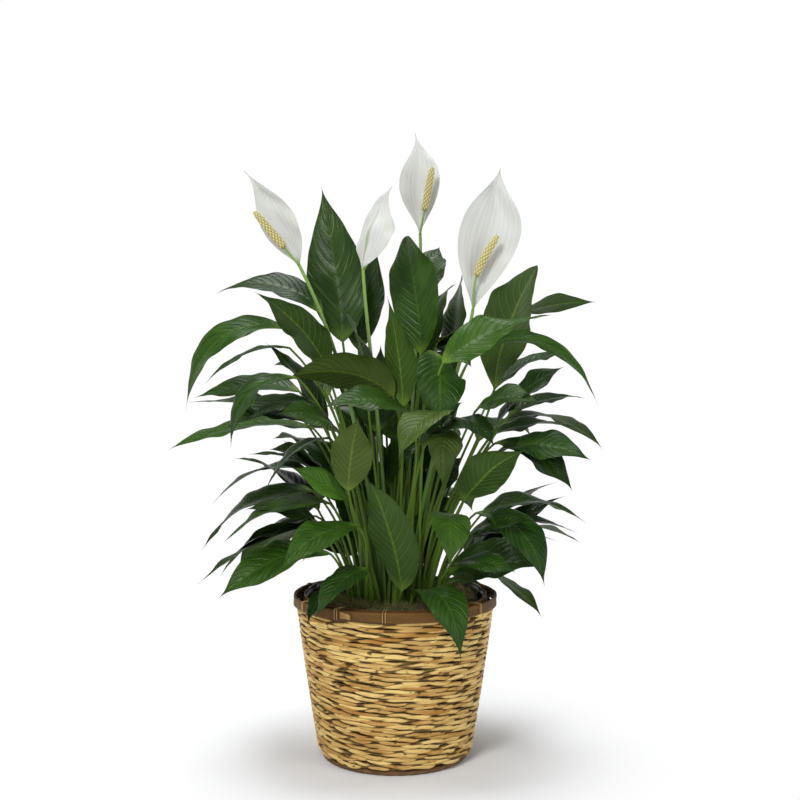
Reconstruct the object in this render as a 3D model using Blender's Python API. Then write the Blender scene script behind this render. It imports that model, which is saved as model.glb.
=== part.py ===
"""A potted peace lily: a leafy plant with four white flowers in a round woven basket.

Metres, +Z up.  The origin is the middle of the basket's foot, so the object stands on z = 0.
Seen from the front the viewer looks along +Y.
"""
import math

import bmesh
import bpy
import numpy as np

CM = 0.01
GAP = 0.0003

# Basket, in metres
BASKET_HEIGHT = 0.200
FOOT_RADIUS = 0.088
WALL_FOOT_RADIUS = 0.0925
WALL_TOP_RADIUS = 0.1205
RIM_DEPTH = 0.0125
WEAVE_THICKNESS = 0.0036
STAKE_THICKNESS = 0.0022
STAKE_SWELL = 0.0006
STAKE_COUNT = 36
BAND_THICKNESS = 0.0035
INNER_BAND_THICKNESS = 0.0025
LINER_THICKNESS = 0.0010
POT_TOP_RADIUS = 0.0985
POT_BASE_RADIUS = 0.072
POT_TOP = 0.1732
POT_THICKNESS = 0.0016
SOIL_TOP = 0.172
MOSS_TOP = 0.196

# Leaves, in centimetres
CROWN_HEIGHT = 17.30
STALK_FOOT_RADIUS = 0.26
STALK_NECK_RADIUS = 0.15
BLADE_HALF_THICKNESS = 0.07
LEAF_SIDES = 8
STALK_STATIONS = 3
BLADE_STATIONS = 9

UP = np.array([0.0, 0.0, 1.0])

# Principled values of each material: base colour, roughness, metallic.
FINISHES = {
    "leaf": ((0.022, 0.075, 0.016), 0.38, 0.0),
    "leaf_young": ((0.115, 0.235, 0.040), 0.40, 0.0),
    "flower_stem": ((0.190, 0.340, 0.070), 0.45, 0.0),
    "spathe": ((0.800, 0.810, 0.760), 0.50, 0.0),
    "spadix": ((0.760, 0.680, 0.330), 0.70, 0.0),
    "wicker": ((0.480, 0.290, 0.110), 0.55, 0.0),
    "wicker_dark": ((0.120, 0.062, 0.028), 0.55, 0.0),
    "cane_tie": ((0.620, 0.460, 0.250), 0.50, 0.0),
    "liner_plastic": ((0.020, 0.018, 0.016), 0.22, 0.0),
    "pot_plastic": ((0.030, 0.034, 0.030), 0.40, 0.0),
    "soil": ((0.045, 0.028, 0.016), 0.95, 0.0),
    "moss": ((0.105, 0.090, 0.028), 0.95, 0.0),
}

# One row for each leaf, in centimetres and degrees:
# foot on the crown (x, y), neck (x, y, z) where the stalk becomes the blade, tip (x, y, z),
# arch (rise of the blade above its chord), width, roll about the chord.
LEAVES = {
    "leaf_01": ((-1.1, 1.8), (-6.7, 5.5, 51.1), (-9.6, 9.0, 71.2), 0.8, 7.6, 50),
    "leaf_02": ((-2.3, 1.2), (-9.1, 2.6, 54.4), (-22.7, 5.0, 57.2), 2.6, 5.2, 30),
    "leaf_03": ((-1.8, 0.0), (-8.4, -1.6, 48.0), (-16.7, -5.0, 56.9), 1.0, 6.2, -38),
    "leaf_04": ((-2.6, 0.8), (-13.1, 1.4, 52.5), (-25.9, 0.6, 42.5), 4.5, 5.6, 35),
    "leaf_05": ((-2.7, -1.8), (-11.2, -8.5, 46.6), (-18.4, -13.5, 39.0), 3.0, 4.4, 15),
    "leaf_06": ((-3.0, 2.0), (-12.3, 6.0, 44.7), (-26.4, 10.0, 43.8), 1.2, 5.4, 20),
    "leaf_07": ((-3.3, -1.0), (-10.8, -4.6, 41.4), (-24.2, -7.4, 43.8), 1.0, 5.6, 25),
    "leaf_08": ((-3.6, 0.3), (-10.1, 1.0, 40.2), (-28.2, 1.0, 37.6), 1.6, 5.4, 12),
    "leaf_09": ((-3.5, 2.8), (-11.5, 8.0, 34.3), (-24.9, 15.0, 29.2), 2.2, 5.0, 10),
    "leaf_10": ((-4.4, -0.6), (-9.9, -2.0, 32.7), (-23.2, -4.0, 25.9), 2.4, 6.0, 15),
    "leaf_11": ((-3.0, -3.4), (-4.8, -7.0, 31.1), (-11.9, -11.0, 36.5), 0.6, 4.2, 40),
    "leaf_12": ((-4.1, -2.6), (-7.7, -6.0, 31.7), (-19.6, -11.0, 27.9), 1.8, 4.8, 15),
    "leaf_13": ((-4.8, 1.0), (-9.2, 3.0, 27.8), (-22.5, 6.0, 21.0), 2.2, 6.2, 12),
    "leaf_14": ((-5.3, -1.6), (-7.8, -4.0, 25.4), (-20.7, -8.0, 20.8), 1.8, 6.0, 15),
    "leaf_15": ((-2.8, -4.6), (-3.4, -8.0, 24.3), (-9.0, -14.5, 19.6), 1.2, 4.6, 10),
    "leaf_16": ((-0.2, -2.6), (1.9, -7.0, 42.3), (-8.1, -12.0, 43.3), 1.4, 5.4, 25),
    "leaf_17": ((-0.9, -1.2), (-0.2, -3.4, 44.4), (-12.7, -7.0, 46.6), 2.4, 6.6, -45),
    "leaf_18": ((-2.6, -0.9), (-8.5, -1.5, 41.0), (-15.4, -4.5, 50.8), 0.8, 6.0, 40),
    "leaf_19": ((0.4, -0.9), (1.0, -4.0, 43.2), (-0.9, -8.0, 56.2), 0.8, 4.6, 20),
    "leaf_20": ((0.0, -4.3), (0.8, -7.5, 21.6), (-2.8, -10.5, 34.9), 0.8, 7.6, -10),
    "leaf_21": ((1.6, -2.6), (6.8, -8.0, 42.4), (0.4, -15.0, 37.6), 2.2, 5.2, -15),
    "leaf_22": ((-0.1, 1.2), (3.2, 3.4, 49.5), (1.3, 4.5, 64.4), 0.8, 7.2, 10),
    "leaf_23": ((2.7, 0.7), (12.4, 2.0, 45.2), (17.8, 2.6, 60.6), 1.0, 9.2, 80),
    "leaf_24": ((2.9, -3.0), (5.6, -8.0, 48.4), (18.2, -8.8, 54.0), 1.0, 6.6, -50),
    "leaf_25": ((2.7, -0.1), (9.3, -1.4, 49.2), (24.6, -2.5, 43.4), 4.6, 4.8, -15),
    "leaf_26": ((3.0, -1.8), (12.0, -6.5, 40.8), (19.6, -9.0, 48.0), 1.0, 6.4, -25),
    "leaf_27": ((3.4, 2.2), (13.7, 8.0, 40.5), (27.6, 12.0, 36.9), 2.4, 5.4, -12),
    "leaf_28": ((3.8, -2.3), (12.4, -5.6, 38.0), (22.7, -9.5, 37.2), 1.2, 5.8, -15),
    "leaf_29": ((3.0, -3.6), (8.1, -7.6, 32.3), (14.8, -12.0, 38.5), 0.8, 5.6, 40),
    "leaf_30": ((4.4, 0.6), (10.6, 1.0, 29.4), (23.7, 1.0, 28.5), 2.2, 5.8, -15),
    "leaf_31": ((4.4, -2.4), (9.6, -6.0, 30.6), (17.2, -11.0, 22.8), 2.6, 5.6, -10),
    "leaf_32": ((4.9, -0.9), (6.6, -3.0, 23.0), (18.0, -8.0, 24.2), 1.2, 7.4, -40),
    "leaf_33": ((1.8, -4.9), (2.2, -7.0, 21.0), (7.4, -14.6, 15.2), 3.6, 5.4, 0),
    "leaf_34": ((-0.6, 3.2), (-3.5, 11.0, 38.0), (-8.0, 24.0, 42.0), 2.0, 6.2, 0),
    "leaf_35": ((2.6, 3.4), (5.5, 10.0, 30.0), (11.0, 23.5, 27.0), 2.6, 6.4, 0),
}
YOUNG_LEAVES = ("leaf_11",)

# One row for each flower: foot (x, y), a point on the way up (x, y, z), spathe base (x, y, z),
# spathe tip (x, y, z), arch, width, roll (180 opens it to the front), spadix tip (x, y, z), and the
# share of the spadix that is its bare stipe.
FLOWERS = {
    "flower_left": ((-1.3, -0.2), (-7.9, -0.4, 50.5), (-11.7, -2.0, 60.4), (-18.2, -3.5, 71.4),
                    1.0, 4.4, 215, (-16.7, -4.9, 66.4), 0.30),
    "flower_back": ((-0.5, 0.5), (-3.2, -1.0, 48.0), (-3.9, -1.4, 59.8), (-0.3, -1.0, 69.9),
                    0.6, 5.2, 45, (-1.0, 0.4, 65.4), 0.17),
    "flower_top": ((1.1, 1.9), (3.3, 7.6, 55.0), (3.2, 7.8, 65.1), (2.8, 8.4, 78.2),
                   0.4, 5.2, 180, (4.7, 5.0, 73.2), 0.33),
    "flower_right": ((1.3, -0.6), (7.6, -3.6, 45.0), (9.3, -4.6, 54.8), (12.9, -4.2, 71.6),
                     0.2, 7.2, 180, (12.1, -6.4, 63.4), 0.44),
}

# Ties round the rim: angle in degrees (front is -90), width and thickness in metres.
TIES = {
    "rim_tie_front": (-95.6, 0.0060, 0.0016),
    "rim_tie_left": (-122.7, 0.0060, 0.0016),
    "rim_tie_right": (-36.9, 0.0060, 0.0016),
}


def clear_scene():
    for item in list(bpy.data.objects):
        bpy.data.objects.remove(item, do_unlink=True)


def material(finish):
    found = bpy.data.materials.get(finish)
    if found:
        return found
    colour, roughness, metallic = FINISHES[finish]
    made = bpy.data.materials.new(finish)
    made.use_nodes = True
    shader = made.node_tree.nodes["Principled BSDF"]
    shader.inputs["Base Color"].default_value = (*colour, 1.0)
    shader.inputs["Roughness"].default_value = roughness
    shader.inputs["Metallic"].default_value = metallic
    made.diffuse_color = (*colour, 1.0)
    return made


def add_mesh(name, points, faces, finish, smooth=True):
    mesh = bpy.data.meshes.new(name)
    mesh.from_pydata([tuple(p) for p in points], [], faces)
    mesh.update()
    work = bmesh.new()
    work.from_mesh(mesh)
    bmesh.ops.recalc_face_normals(work, faces=work.faces)
    bmesh.ops.triangulate(work, faces=[f for f in work.faces if len(f.verts) > 3])
    work.to_mesh(mesh)
    work.free()
    if smooth:
        mesh.shade_smooth()
        mesh.set_sharp_from_angle(angle=math.radians(50))
    obj = bpy.data.objects.new(name, mesh)
    bpy.context.scene.collection.objects.link(obj)
    mesh.materials.append(material(finish))
    return obj


def turned(name, profile, finish, sides=36, flute_depth=0.0, fluted_points=0):
    """A closed profile of (radius, z) points, turned round the axis.

    A profile that starts and ends on the axis makes a solid disc; any other makes a ring.
    The first fluted_points of the profile swell outwards by flute_depth on every other side.
    """
    on_axis = profile[0][0] == 0.0
    inner = profile[1:-1] if on_axis else profile
    points = []
    for side in range(sides):
        angle = 2 * math.pi * side / sides
        for index, (radius, z) in enumerate(inner):
            reach = radius + (flute_depth if side % 2 == 0 and index < fluted_points else 0.0)
            points.append((reach * math.cos(angle), reach * math.sin(angle), z))
    rows = len(inner)
    faces = []
    for side in range(sides):
        a, b = side * rows, ((side + 1) % sides) * rows
        for index in range(rows if not on_axis else rows - 1):
            after = (index + 1) % rows
            faces.append((a + index, b + index, b + after, a + after))
    if on_axis:
        low, high = len(points), len(points) + 1
        points += [(0.0, 0.0, profile[0][1]), (0.0, 0.0, profile[-1][1])]
        for side in range(sides):
            a, b = side * rows, ((side + 1) % sides) * rows
            faces.append((low, b, a))
            faces.append((high, a + rows - 1, b + rows - 1))
    return add_mesh(name, points, faces, finish)


def wall_radius(z):
    """Outer radius of the woven wall at height z: a straight taper with a slight belly."""
    share = z / (BASKET_HEIGHT - RIM_DEPTH)
    belly = 0.0008 * math.sin(math.pi * min(max(share, 0.0), 1.0))
    return WALL_FOOT_RADIUS + (WALL_TOP_RADIUS - WALL_FOOT_RADIUS) * share + belly


def wall_profile(offset, thickness, bottom, top, steps):
    """Profile of a shell that follows the wall, `offset` inside its outer face."""
    heights = [bottom + (top - bottom) * i / steps for i in range(steps + 1)]
    outer = [(wall_radius(z) - offset, z) for z in heights]
    inner = [(wall_radius(z) - offset - thickness, z) for z in reversed(heights)]
    return outer + inner


def build_basket():
    ring = FOOT_RADIUS + 0.003
    ring_in = FOOT_RADIUS - 0.009
    turned("basket_foot_ring", [
        (ring_in, 0.0), (ring - 0.004, 0.0), (ring, 0.003), (ring, 0.0067), (ring_in, 0.0067),
    ], "wicker_dark")
    base, flange = ring_in - 0.0008, FOOT_RADIUS - 0.003
    turned("basket_base", [
        (0.0, 0.0), (base, 0.0), (base, 0.0070), (flange, 0.0070), (flange, 0.0100), (0.0, 0.0100),
    ], "wicker")
    top = BASKET_HEIGHT - 0.002
    turned("basket_weave", wall_profile(0.0, WEAVE_THICKNESS, 0.0070, top, 4), "wicker", sides=48)
    stakes_at = WEAVE_THICKNESS + GAP + STAKE_SWELL
    turned("basket_stakes", wall_profile(stakes_at, STAKE_THICKNESS, 0.0110, top, 2), "wicker_dark",
           sides=2 * STAKE_COUNT, flute_depth=STAKE_SWELL, fluted_points=3)
    low = BASKET_HEIGHT - RIM_DEPTH
    near = wall_radius(top) + GAP
    far = near + BAND_THICKNESS
    turned("rim_band_outer", [
        (near, low), (far - 0.001, low), (far, low + 0.003), (far, BASKET_HEIGHT - 0.003),
        (far - 0.001, BASKET_HEIGHT), (near, BASKET_HEIGHT),
    ], "wicker_dark", sides=48)
    outer = wall_radius(low) - stakes_at - STAKE_THICKNESS - 2 * GAP
    inner = outer - INNER_BAND_THICKNESS
    turned("rim_band_inner", [
        (outer, low), (outer, BASKET_HEIGHT), (inner + 0.0007, BASKET_HEIGHT),
        (inner, BASKET_HEIGHT - 0.003), (inner, low),
    ], "wicker_dark", sides=48)
    build_holder_insides(inner - GAP)
    build_ties(inner, far)


def build_holder_insides(liner_radius):
    t = LINER_THICKNESS
    floor = 0.0103
    liner_foot = FOOT_RADIUS - 0.006
    shoulder, lip = BASKET_HEIGHT - 0.024, BASKET_HEIGHT - 0.008
    turned("plastic_liner", [
        (0.0, floor), (liner_foot, floor), (liner_foot + 0.002, floor + 0.0022),
        (liner_radius - 0.004, shoulder), (liner_radius, lip), (liner_radius - t, lip),
        (liner_radius - 0.004 - t, shoulder), (liner_foot + 0.002 - t, floor + 0.0027),
        (liner_foot - t, floor + t), (0.0, floor + t),
    ], "liner_plastic")
    foot = floor + t + GAP
    top = POT_TOP
    wall_top = POT_TOP_RADIUS - 0.003
    lip_foot = top - 0.014
    turned("nursery_pot", [
        (0.0, foot), (POT_BASE_RADIUS, foot), (wall_top, lip_foot), (POT_TOP_RADIUS, lip_foot),
        (POT_TOP_RADIUS + 0.001, top), (POT_TOP_RADIUS + 0.001 - POT_THICKNESS, top),
        (POT_TOP_RADIUS - 0.0012 - POT_THICKNESS, lip_foot + 0.0005),
        (wall_top - POT_THICKNESS, lip_foot - 0.002),
        (POT_BASE_RADIUS - POT_THICKNESS, foot + POT_THICKNESS), (0.0, foot + POT_THICKNESS),
    ], "pot_plastic")
    low = foot + POT_THICKNESS + GAP
    edge_top = SOIL_TOP - 0.016
    slope = (wall_top - POT_BASE_RADIUS) / (lip_foot - foot)
    clear = POT_THICKNESS + 2 * GAP
    soil_edge = POT_BASE_RADIUS + slope * (edge_top - foot) - clear
    turned("soil", [
        (0.0, low), (POT_BASE_RADIUS - clear, low), (soil_edge, edge_top),
        (soil_edge - 0.001, SOIL_TOP - 0.004), (0.058, SOIL_TOP), (0.0, SOIL_TOP),
    ], "soil")
    turned("moss", [
        (0.061, SOIL_TOP + 2 * GAP), (0.093, SOIL_TOP + 2 * GAP), (0.100, top + 0.0020),
        (0.103, top + 0.0045), (0.1025, MOSS_TOP - 0.006), (0.097, MOSS_TOP - 0.001), (0.082, MOSS_TOP),
        (0.068, MOSS_TOP - 0.005),
    ], "moss")


def build_ties(inside, outside):
    """Each tie is a flat strip bent over both rim bands: a closed C shape, open downwards."""
    clear = 0.0006
    inner, outer = inside - clear, outside + clear
    low, inner_low = BASKET_HEIGHT - RIM_DEPTH + 0.002, BASKET_HEIGHT - 0.006
    top = BASKET_HEIGHT + clear
    for name, (angle, width, thick) in TIES.items():
        bend = 0.4 * thick
        section = [
            (outer, low), (outer + thick, low), (outer + thick, top + bend), (outer + bend, top + thick),
            (inner - bend, top + thick), (inner - thick, top + bend), (inner - thick, inner_low),
            (inner, inner_low), (inner, top), (outer, top),
        ]
        points = []
        for end in (-1, 1):
            turn = math.radians(angle) + end * width / (2 * outer)
            points += [(r * math.cos(turn), r * math.sin(turn), z) for r, z in section]
        n = len(section)
        cap = [(0, 1, 2, 9), (2, 3, 9), (9, 3, 4, 8), (4, 5, 8), (8, 5, 6, 7)]
        faces = [(i, (i + 1) % n, n + (i + 1) % n, n + i) for i in range(n)]
        faces += cap
        faces += [tuple(n + i for i in reversed(face)) for face in cap]
        add_mesh(name, points, faces, "cane_tie", smooth=False)


def unit(vector):
    return vector / np.linalg.norm(vector)


def bezier(controls, t):
    t = t[:, None]
    s = 1 - t
    return s**3 * controls[0] + 3 * s * s * t * controls[1] + 3 * s * t * t * controls[2] + t**3 * controls[3]


def blade_line(neck, tip, arch, count):
    """Midrib from neck to tip, bowed upwards by `arch`, most of it in the first half."""
    chord = tip - neck
    along = unit(chord)
    lift = UP - along * along[2]
    lift = lift / max(np.linalg.norm(lift), 0.3)
    controls = [neck, neck + chord * 0.28 + lift * arch * 1.5, neck + chord * 0.70 + lift * arch * 1.15, tip]
    return bezier(controls, np.linspace(0, 1, count)), unit(controls[1] - neck)


def stalk_line(foot, neck, start, count):
    """Leaf stalk: leaves the crown steeply and bends into the blade's own direction at the neck."""
    rise = neck - foot
    length = np.linalg.norm(rise)
    leave = unit(np.array([rise[0] * 0.25, rise[1] * 0.25, length]))
    arrive = unit(0.5 * start + 0.5 * rise / length)
    controls = [foot, foot + leave * length * 0.4, neck - arrive * length * 0.25, neck]
    return bezier(controls, np.linspace(0, 1, count))


def outline(t):
    """Share of the full width at t along the blade: a lance shape drawn out to a fine tip."""
    return np.sin(np.pi * np.clip(t, 0, 1) ** 0.8) ** (0.8 + 0.7 * t)


def spathe_outline(t):
    """Share of the full width at t along a spathe: a rhombus with a narrow claw and a drawn-out tail."""
    return np.sin(np.pi * np.clip(t, 0, 1)) ** (1.3 - 0.1 * t)


def side_directions(line, chord, outward, roll):
    """Sideways direction at each station: level and across `outward`, rolled about the chord."""
    along = unit(chord)
    across = np.cross(outward, UP)
    across = unit(across - along * (across @ along))
    normal = np.cross(across, along)
    turn = math.radians(roll)
    across = across * math.cos(turn) + normal * math.sin(turn)
    tangent = np.gradient(line, axis=0)
    tangent /= np.linalg.norm(tangent, axis=1)[:, None]
    tangent[0] = UP
    side = across - tangent * (tangent @ across)[:, None]
    side /= np.linalg.norm(side, axis=1)[:, None]
    return side, np.cross(side, tangent)


def loft(name, line, side, normal, half_width, half_height, lift, finish, scale=CM):
    """Skin of flattened rings along `line`, closed by a flat foot and a pointed tip.

    Each ring is an ellipse, half_width by half_height, whose points are raised by lift * |share|,
    where share is -1 at the left edge and 1 at the right edge.
    """
    angle = np.linspace(0, 2 * np.pi, LEAF_SIDES, endpoint=False)
    share = -np.cos(angle)
    rings = (line[:-1, None, :]
             + side[:-1, None, :] * (half_width[:-1, None] * share)[:, :, None]
             + normal[:-1, None, :] * (half_height[:-1, None] * np.sin(angle)
                                       + lift[:-1, None] * np.abs(share))[:, :, None])
    points = np.vstack([rings.reshape(-1, 3), line[-1:]]) * scale
    count, sides = len(line) - 1, LEAF_SIDES
    faces = [tuple(range(sides))]
    for ring in range(count - 1):
        a, b = ring * sides, (ring + 1) * sides
        faces += [(a + i, a + (i + 1) % sides, b + (i + 1) % sides, b + i) for i in range(sides)]
    tip, last = count * sides, (count - 1) * sides
    faces += [(last + i, last + (i + 1) % sides, tip) for i in range(sides)]
    return add_mesh(name, points, faces, finish)


def build_leaf(name, foot, neck, tip, arch, width, roll):
    foot = np.array([*foot, CROWN_HEIGHT])
    neck, tip = np.array(neck), np.array(tip)
    blade, start = blade_line(neck, tip, arch, BLADE_STATIONS)
    stalk = stalk_line(foot, neck, start, STALK_STATIONS + 1)
    line = np.vstack([stalk[:-1], blade])
    outward = unit((tip - foot) * [1, 1, 0])
    side, normal = side_directions(line, tip - neck, outward, roll)
    t = np.concatenate([np.zeros(STALK_STATIONS), np.linspace(0, 1, BLADE_STATIONS)])
    low = np.concatenate([np.linspace(1, 0, STALK_STATIONS + 1)[:-1], np.zeros(BLADE_STATIONS)])
    radius = STALK_NECK_RADIUS + (STALK_FOOT_RADIUS - STALK_NECK_RADIUS) * low
    spread = width / 2 * outline(t)
    half_width = np.sqrt((radius * (1 - t)) ** 2 + spread**2)
    half_height = np.where(t > 0, BLADE_HALF_THICKNESS, radius)
    finish = "leaf_young" if name in YOUNG_LEAVES else "leaf"
    loft(name, line, side, normal, half_width, half_height, 0.28 * spread, finish)


def build_flower(name, foot, way, base, tip, arch, width, roll, spadix_tip, stipe):
    foot = np.array([*foot, CROWN_HEIGHT])
    way, base, tip = np.array(way), np.array(base), np.array(tip)
    front = np.array([0.0, -1.0, 0.0])
    t = np.linspace(0, 1, 10)
    blade, _ = blade_line(base, tip, arch, 10)
    side, normal = side_directions(blade, tip - base, front, roll)
    facing = normal[1]
    spread = width / 2 * spathe_outline(t)
    half_width = np.sqrt((0.15 * (1 - t)) ** 2 + spread**2)
    loft(name + "_spathe", blade - facing * 0.13, side, normal, half_width, np.full(10, 0.06),
         0.34 * spread, "spathe")
    build_stem(name + "_stem", foot, way, base - unit(base - way) * 0.12)
    stipe_foot = base + facing * 0.13 + unit(base - way) * 0.03
    reach = np.array(spadix_tip) - stipe_foot
    rod = np.array([0.0, 0.06, 0.22, 0.40, 0.58, 0.76, 0.88, 0.96, 1.0])
    t = np.concatenate([[0.0, 0.6 * stipe], stipe + (1 - stipe) * rod])
    line = stipe_foot + reach * t[:, None]
    side, normal = side_directions(line, reach, front, 0)
    along = np.clip((t - stipe) / (1 - stipe), 0, 1)
    radius = np.where(t < stipe + 0.01, 0.13, 0.5 * np.sqrt(1 - along**4))
    loft(name + "_spadix", line, side, normal, radius, radius, radius * 0, "spadix")


def build_stem(name, foot, way, top):
    """Flower stem: a round stem in one sweep through `way`, ending in a flat top."""
    t = np.linspace(0, 1, 9)
    controls = [foot, foot + (way - foot) * [0.35, 0.35, 0.75], way + (way - foot) * 0.12, top]
    line = bezier(controls, t)
    line = np.vstack([line, line[-1] + unit(line[-1] - line[-2]) * 0.02])
    side, normal = side_directions(line, top - foot, np.array([0.0, -1.0, 0.0]), 0)
    radius = 0.27 - 0.07 * np.append(t, 1.0)
    loft(name, line, side, normal, radius, radius, radius * 0, "flower_stem")


def main():
    clear_scene()
    build_basket()
    for name, row in LEAVES.items():
        build_leaf(name, *row)
    for name, row in FLOWERS.items():
        build_flower(name, *row)


main()
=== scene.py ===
"""Potted peace lily in a woven basket: the visible model, built round its CAD frame.

Metres, +Z up, with the front towards -Y.  Tables of the plant are in centimetres.
"""
from __future__ import annotations

import logging
import math
from dataclasses import dataclass, field
from enum import Enum
from typing import Any, Callable, ClassVar

import bpy
import numpy as np
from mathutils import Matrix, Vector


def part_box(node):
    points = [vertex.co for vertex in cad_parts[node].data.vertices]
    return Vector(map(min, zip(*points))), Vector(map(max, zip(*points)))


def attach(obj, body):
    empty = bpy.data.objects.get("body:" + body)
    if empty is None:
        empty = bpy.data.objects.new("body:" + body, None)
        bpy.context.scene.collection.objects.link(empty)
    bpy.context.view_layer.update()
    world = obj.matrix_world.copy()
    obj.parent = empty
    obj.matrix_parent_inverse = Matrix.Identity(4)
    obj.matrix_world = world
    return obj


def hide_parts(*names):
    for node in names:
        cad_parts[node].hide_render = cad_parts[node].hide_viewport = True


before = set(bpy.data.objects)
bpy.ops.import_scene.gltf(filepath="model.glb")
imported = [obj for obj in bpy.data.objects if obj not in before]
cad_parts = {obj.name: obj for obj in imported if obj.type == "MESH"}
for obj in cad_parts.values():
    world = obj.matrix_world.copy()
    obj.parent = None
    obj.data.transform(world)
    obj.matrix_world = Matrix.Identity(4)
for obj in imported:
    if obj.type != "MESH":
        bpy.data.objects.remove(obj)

LOG = logging.getLogger("lily")
Array = np.ndarray
Colour = tuple[float, float, float]
CM = 0.01
UP = np.array([0.0, 0.0, 1.0])
FRONT = np.array([0.0, -1.0, 0.0])
TURN = 2 * math.pi
GOLDEN = 0.618  # spreads the leaves' places and tones evenly
UNDER = -0.05  # a section's points whose sine is below this are its underside
SIDE_VEINS = 13.0  # along a blade
VEIN_SWEEP = 0.24  # how far a vein runs forward to the margin, as a share of the blade
VEIN_BOW = 1.25  # how late it turns forward


# ---------------------------------------------------------------- shader maths
def math_node(operation: str, swapped: bool = False) -> Callable[..., "Value"]:
    """A method of Value that adds a Math node.

    Args:
        operation: the node's operation.
        swapped: the other term comes first, as a reflected operator needs.

    Returns:
        The method, which returns the node's result.
    """
    def method(self: "Value", *others: Any) -> "Value":
        """Adds the node and wraps its result."""
        terms = (*others, self) if swapped else (self, *others)
        return self.graph.value("ShaderNodeMath", {"operation": operation}, dict(enumerate(terms)))

    return method


class Value:
    """A number socket of a material, with arithmetic that adds Math nodes."""

    def __init__(self, graph: "Graph", socket: Any) -> None:
        """Wraps a socket.

        Args:
            graph: the material's graph.
            socket: the output socket that carries the number.
        """
        self.graph = graph
        self.socket = socket

    __add__, __radd__ = math_node("ADD"), math_node("ADD", swapped=True)
    __sub__, __rsub__ = math_node("SUBTRACT"), math_node("SUBTRACT", swapped=True)
    __mul__, __rmul__ = math_node("MULTIPLY"), math_node("MULTIPLY", swapped=True)
    __pow__, __abs__, fraction = math_node("POWER"), math_node("ABSOLUTE"), math_node("FRACT")

    def ramp(self, low: float, high: float, out_low: float = 0.0, out_high: float = 1.0) -> "Value":
        """Smooth step between two levels.

        Args:
            low: the value where the step starts.
            high: the value where it ends.
            out_low: result at low.
            out_high: result at high.

        Returns:
            The stepped value, held beyond both ends.
        """
        return self.graph.value(
            "ShaderNodeMapRange",
            {"interpolation_type": "SMOOTHSTEP"},
            {"Value": self, "From Min": low, "From Max": high, "To Min": out_low, "To Max": out_high},
        )


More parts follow.
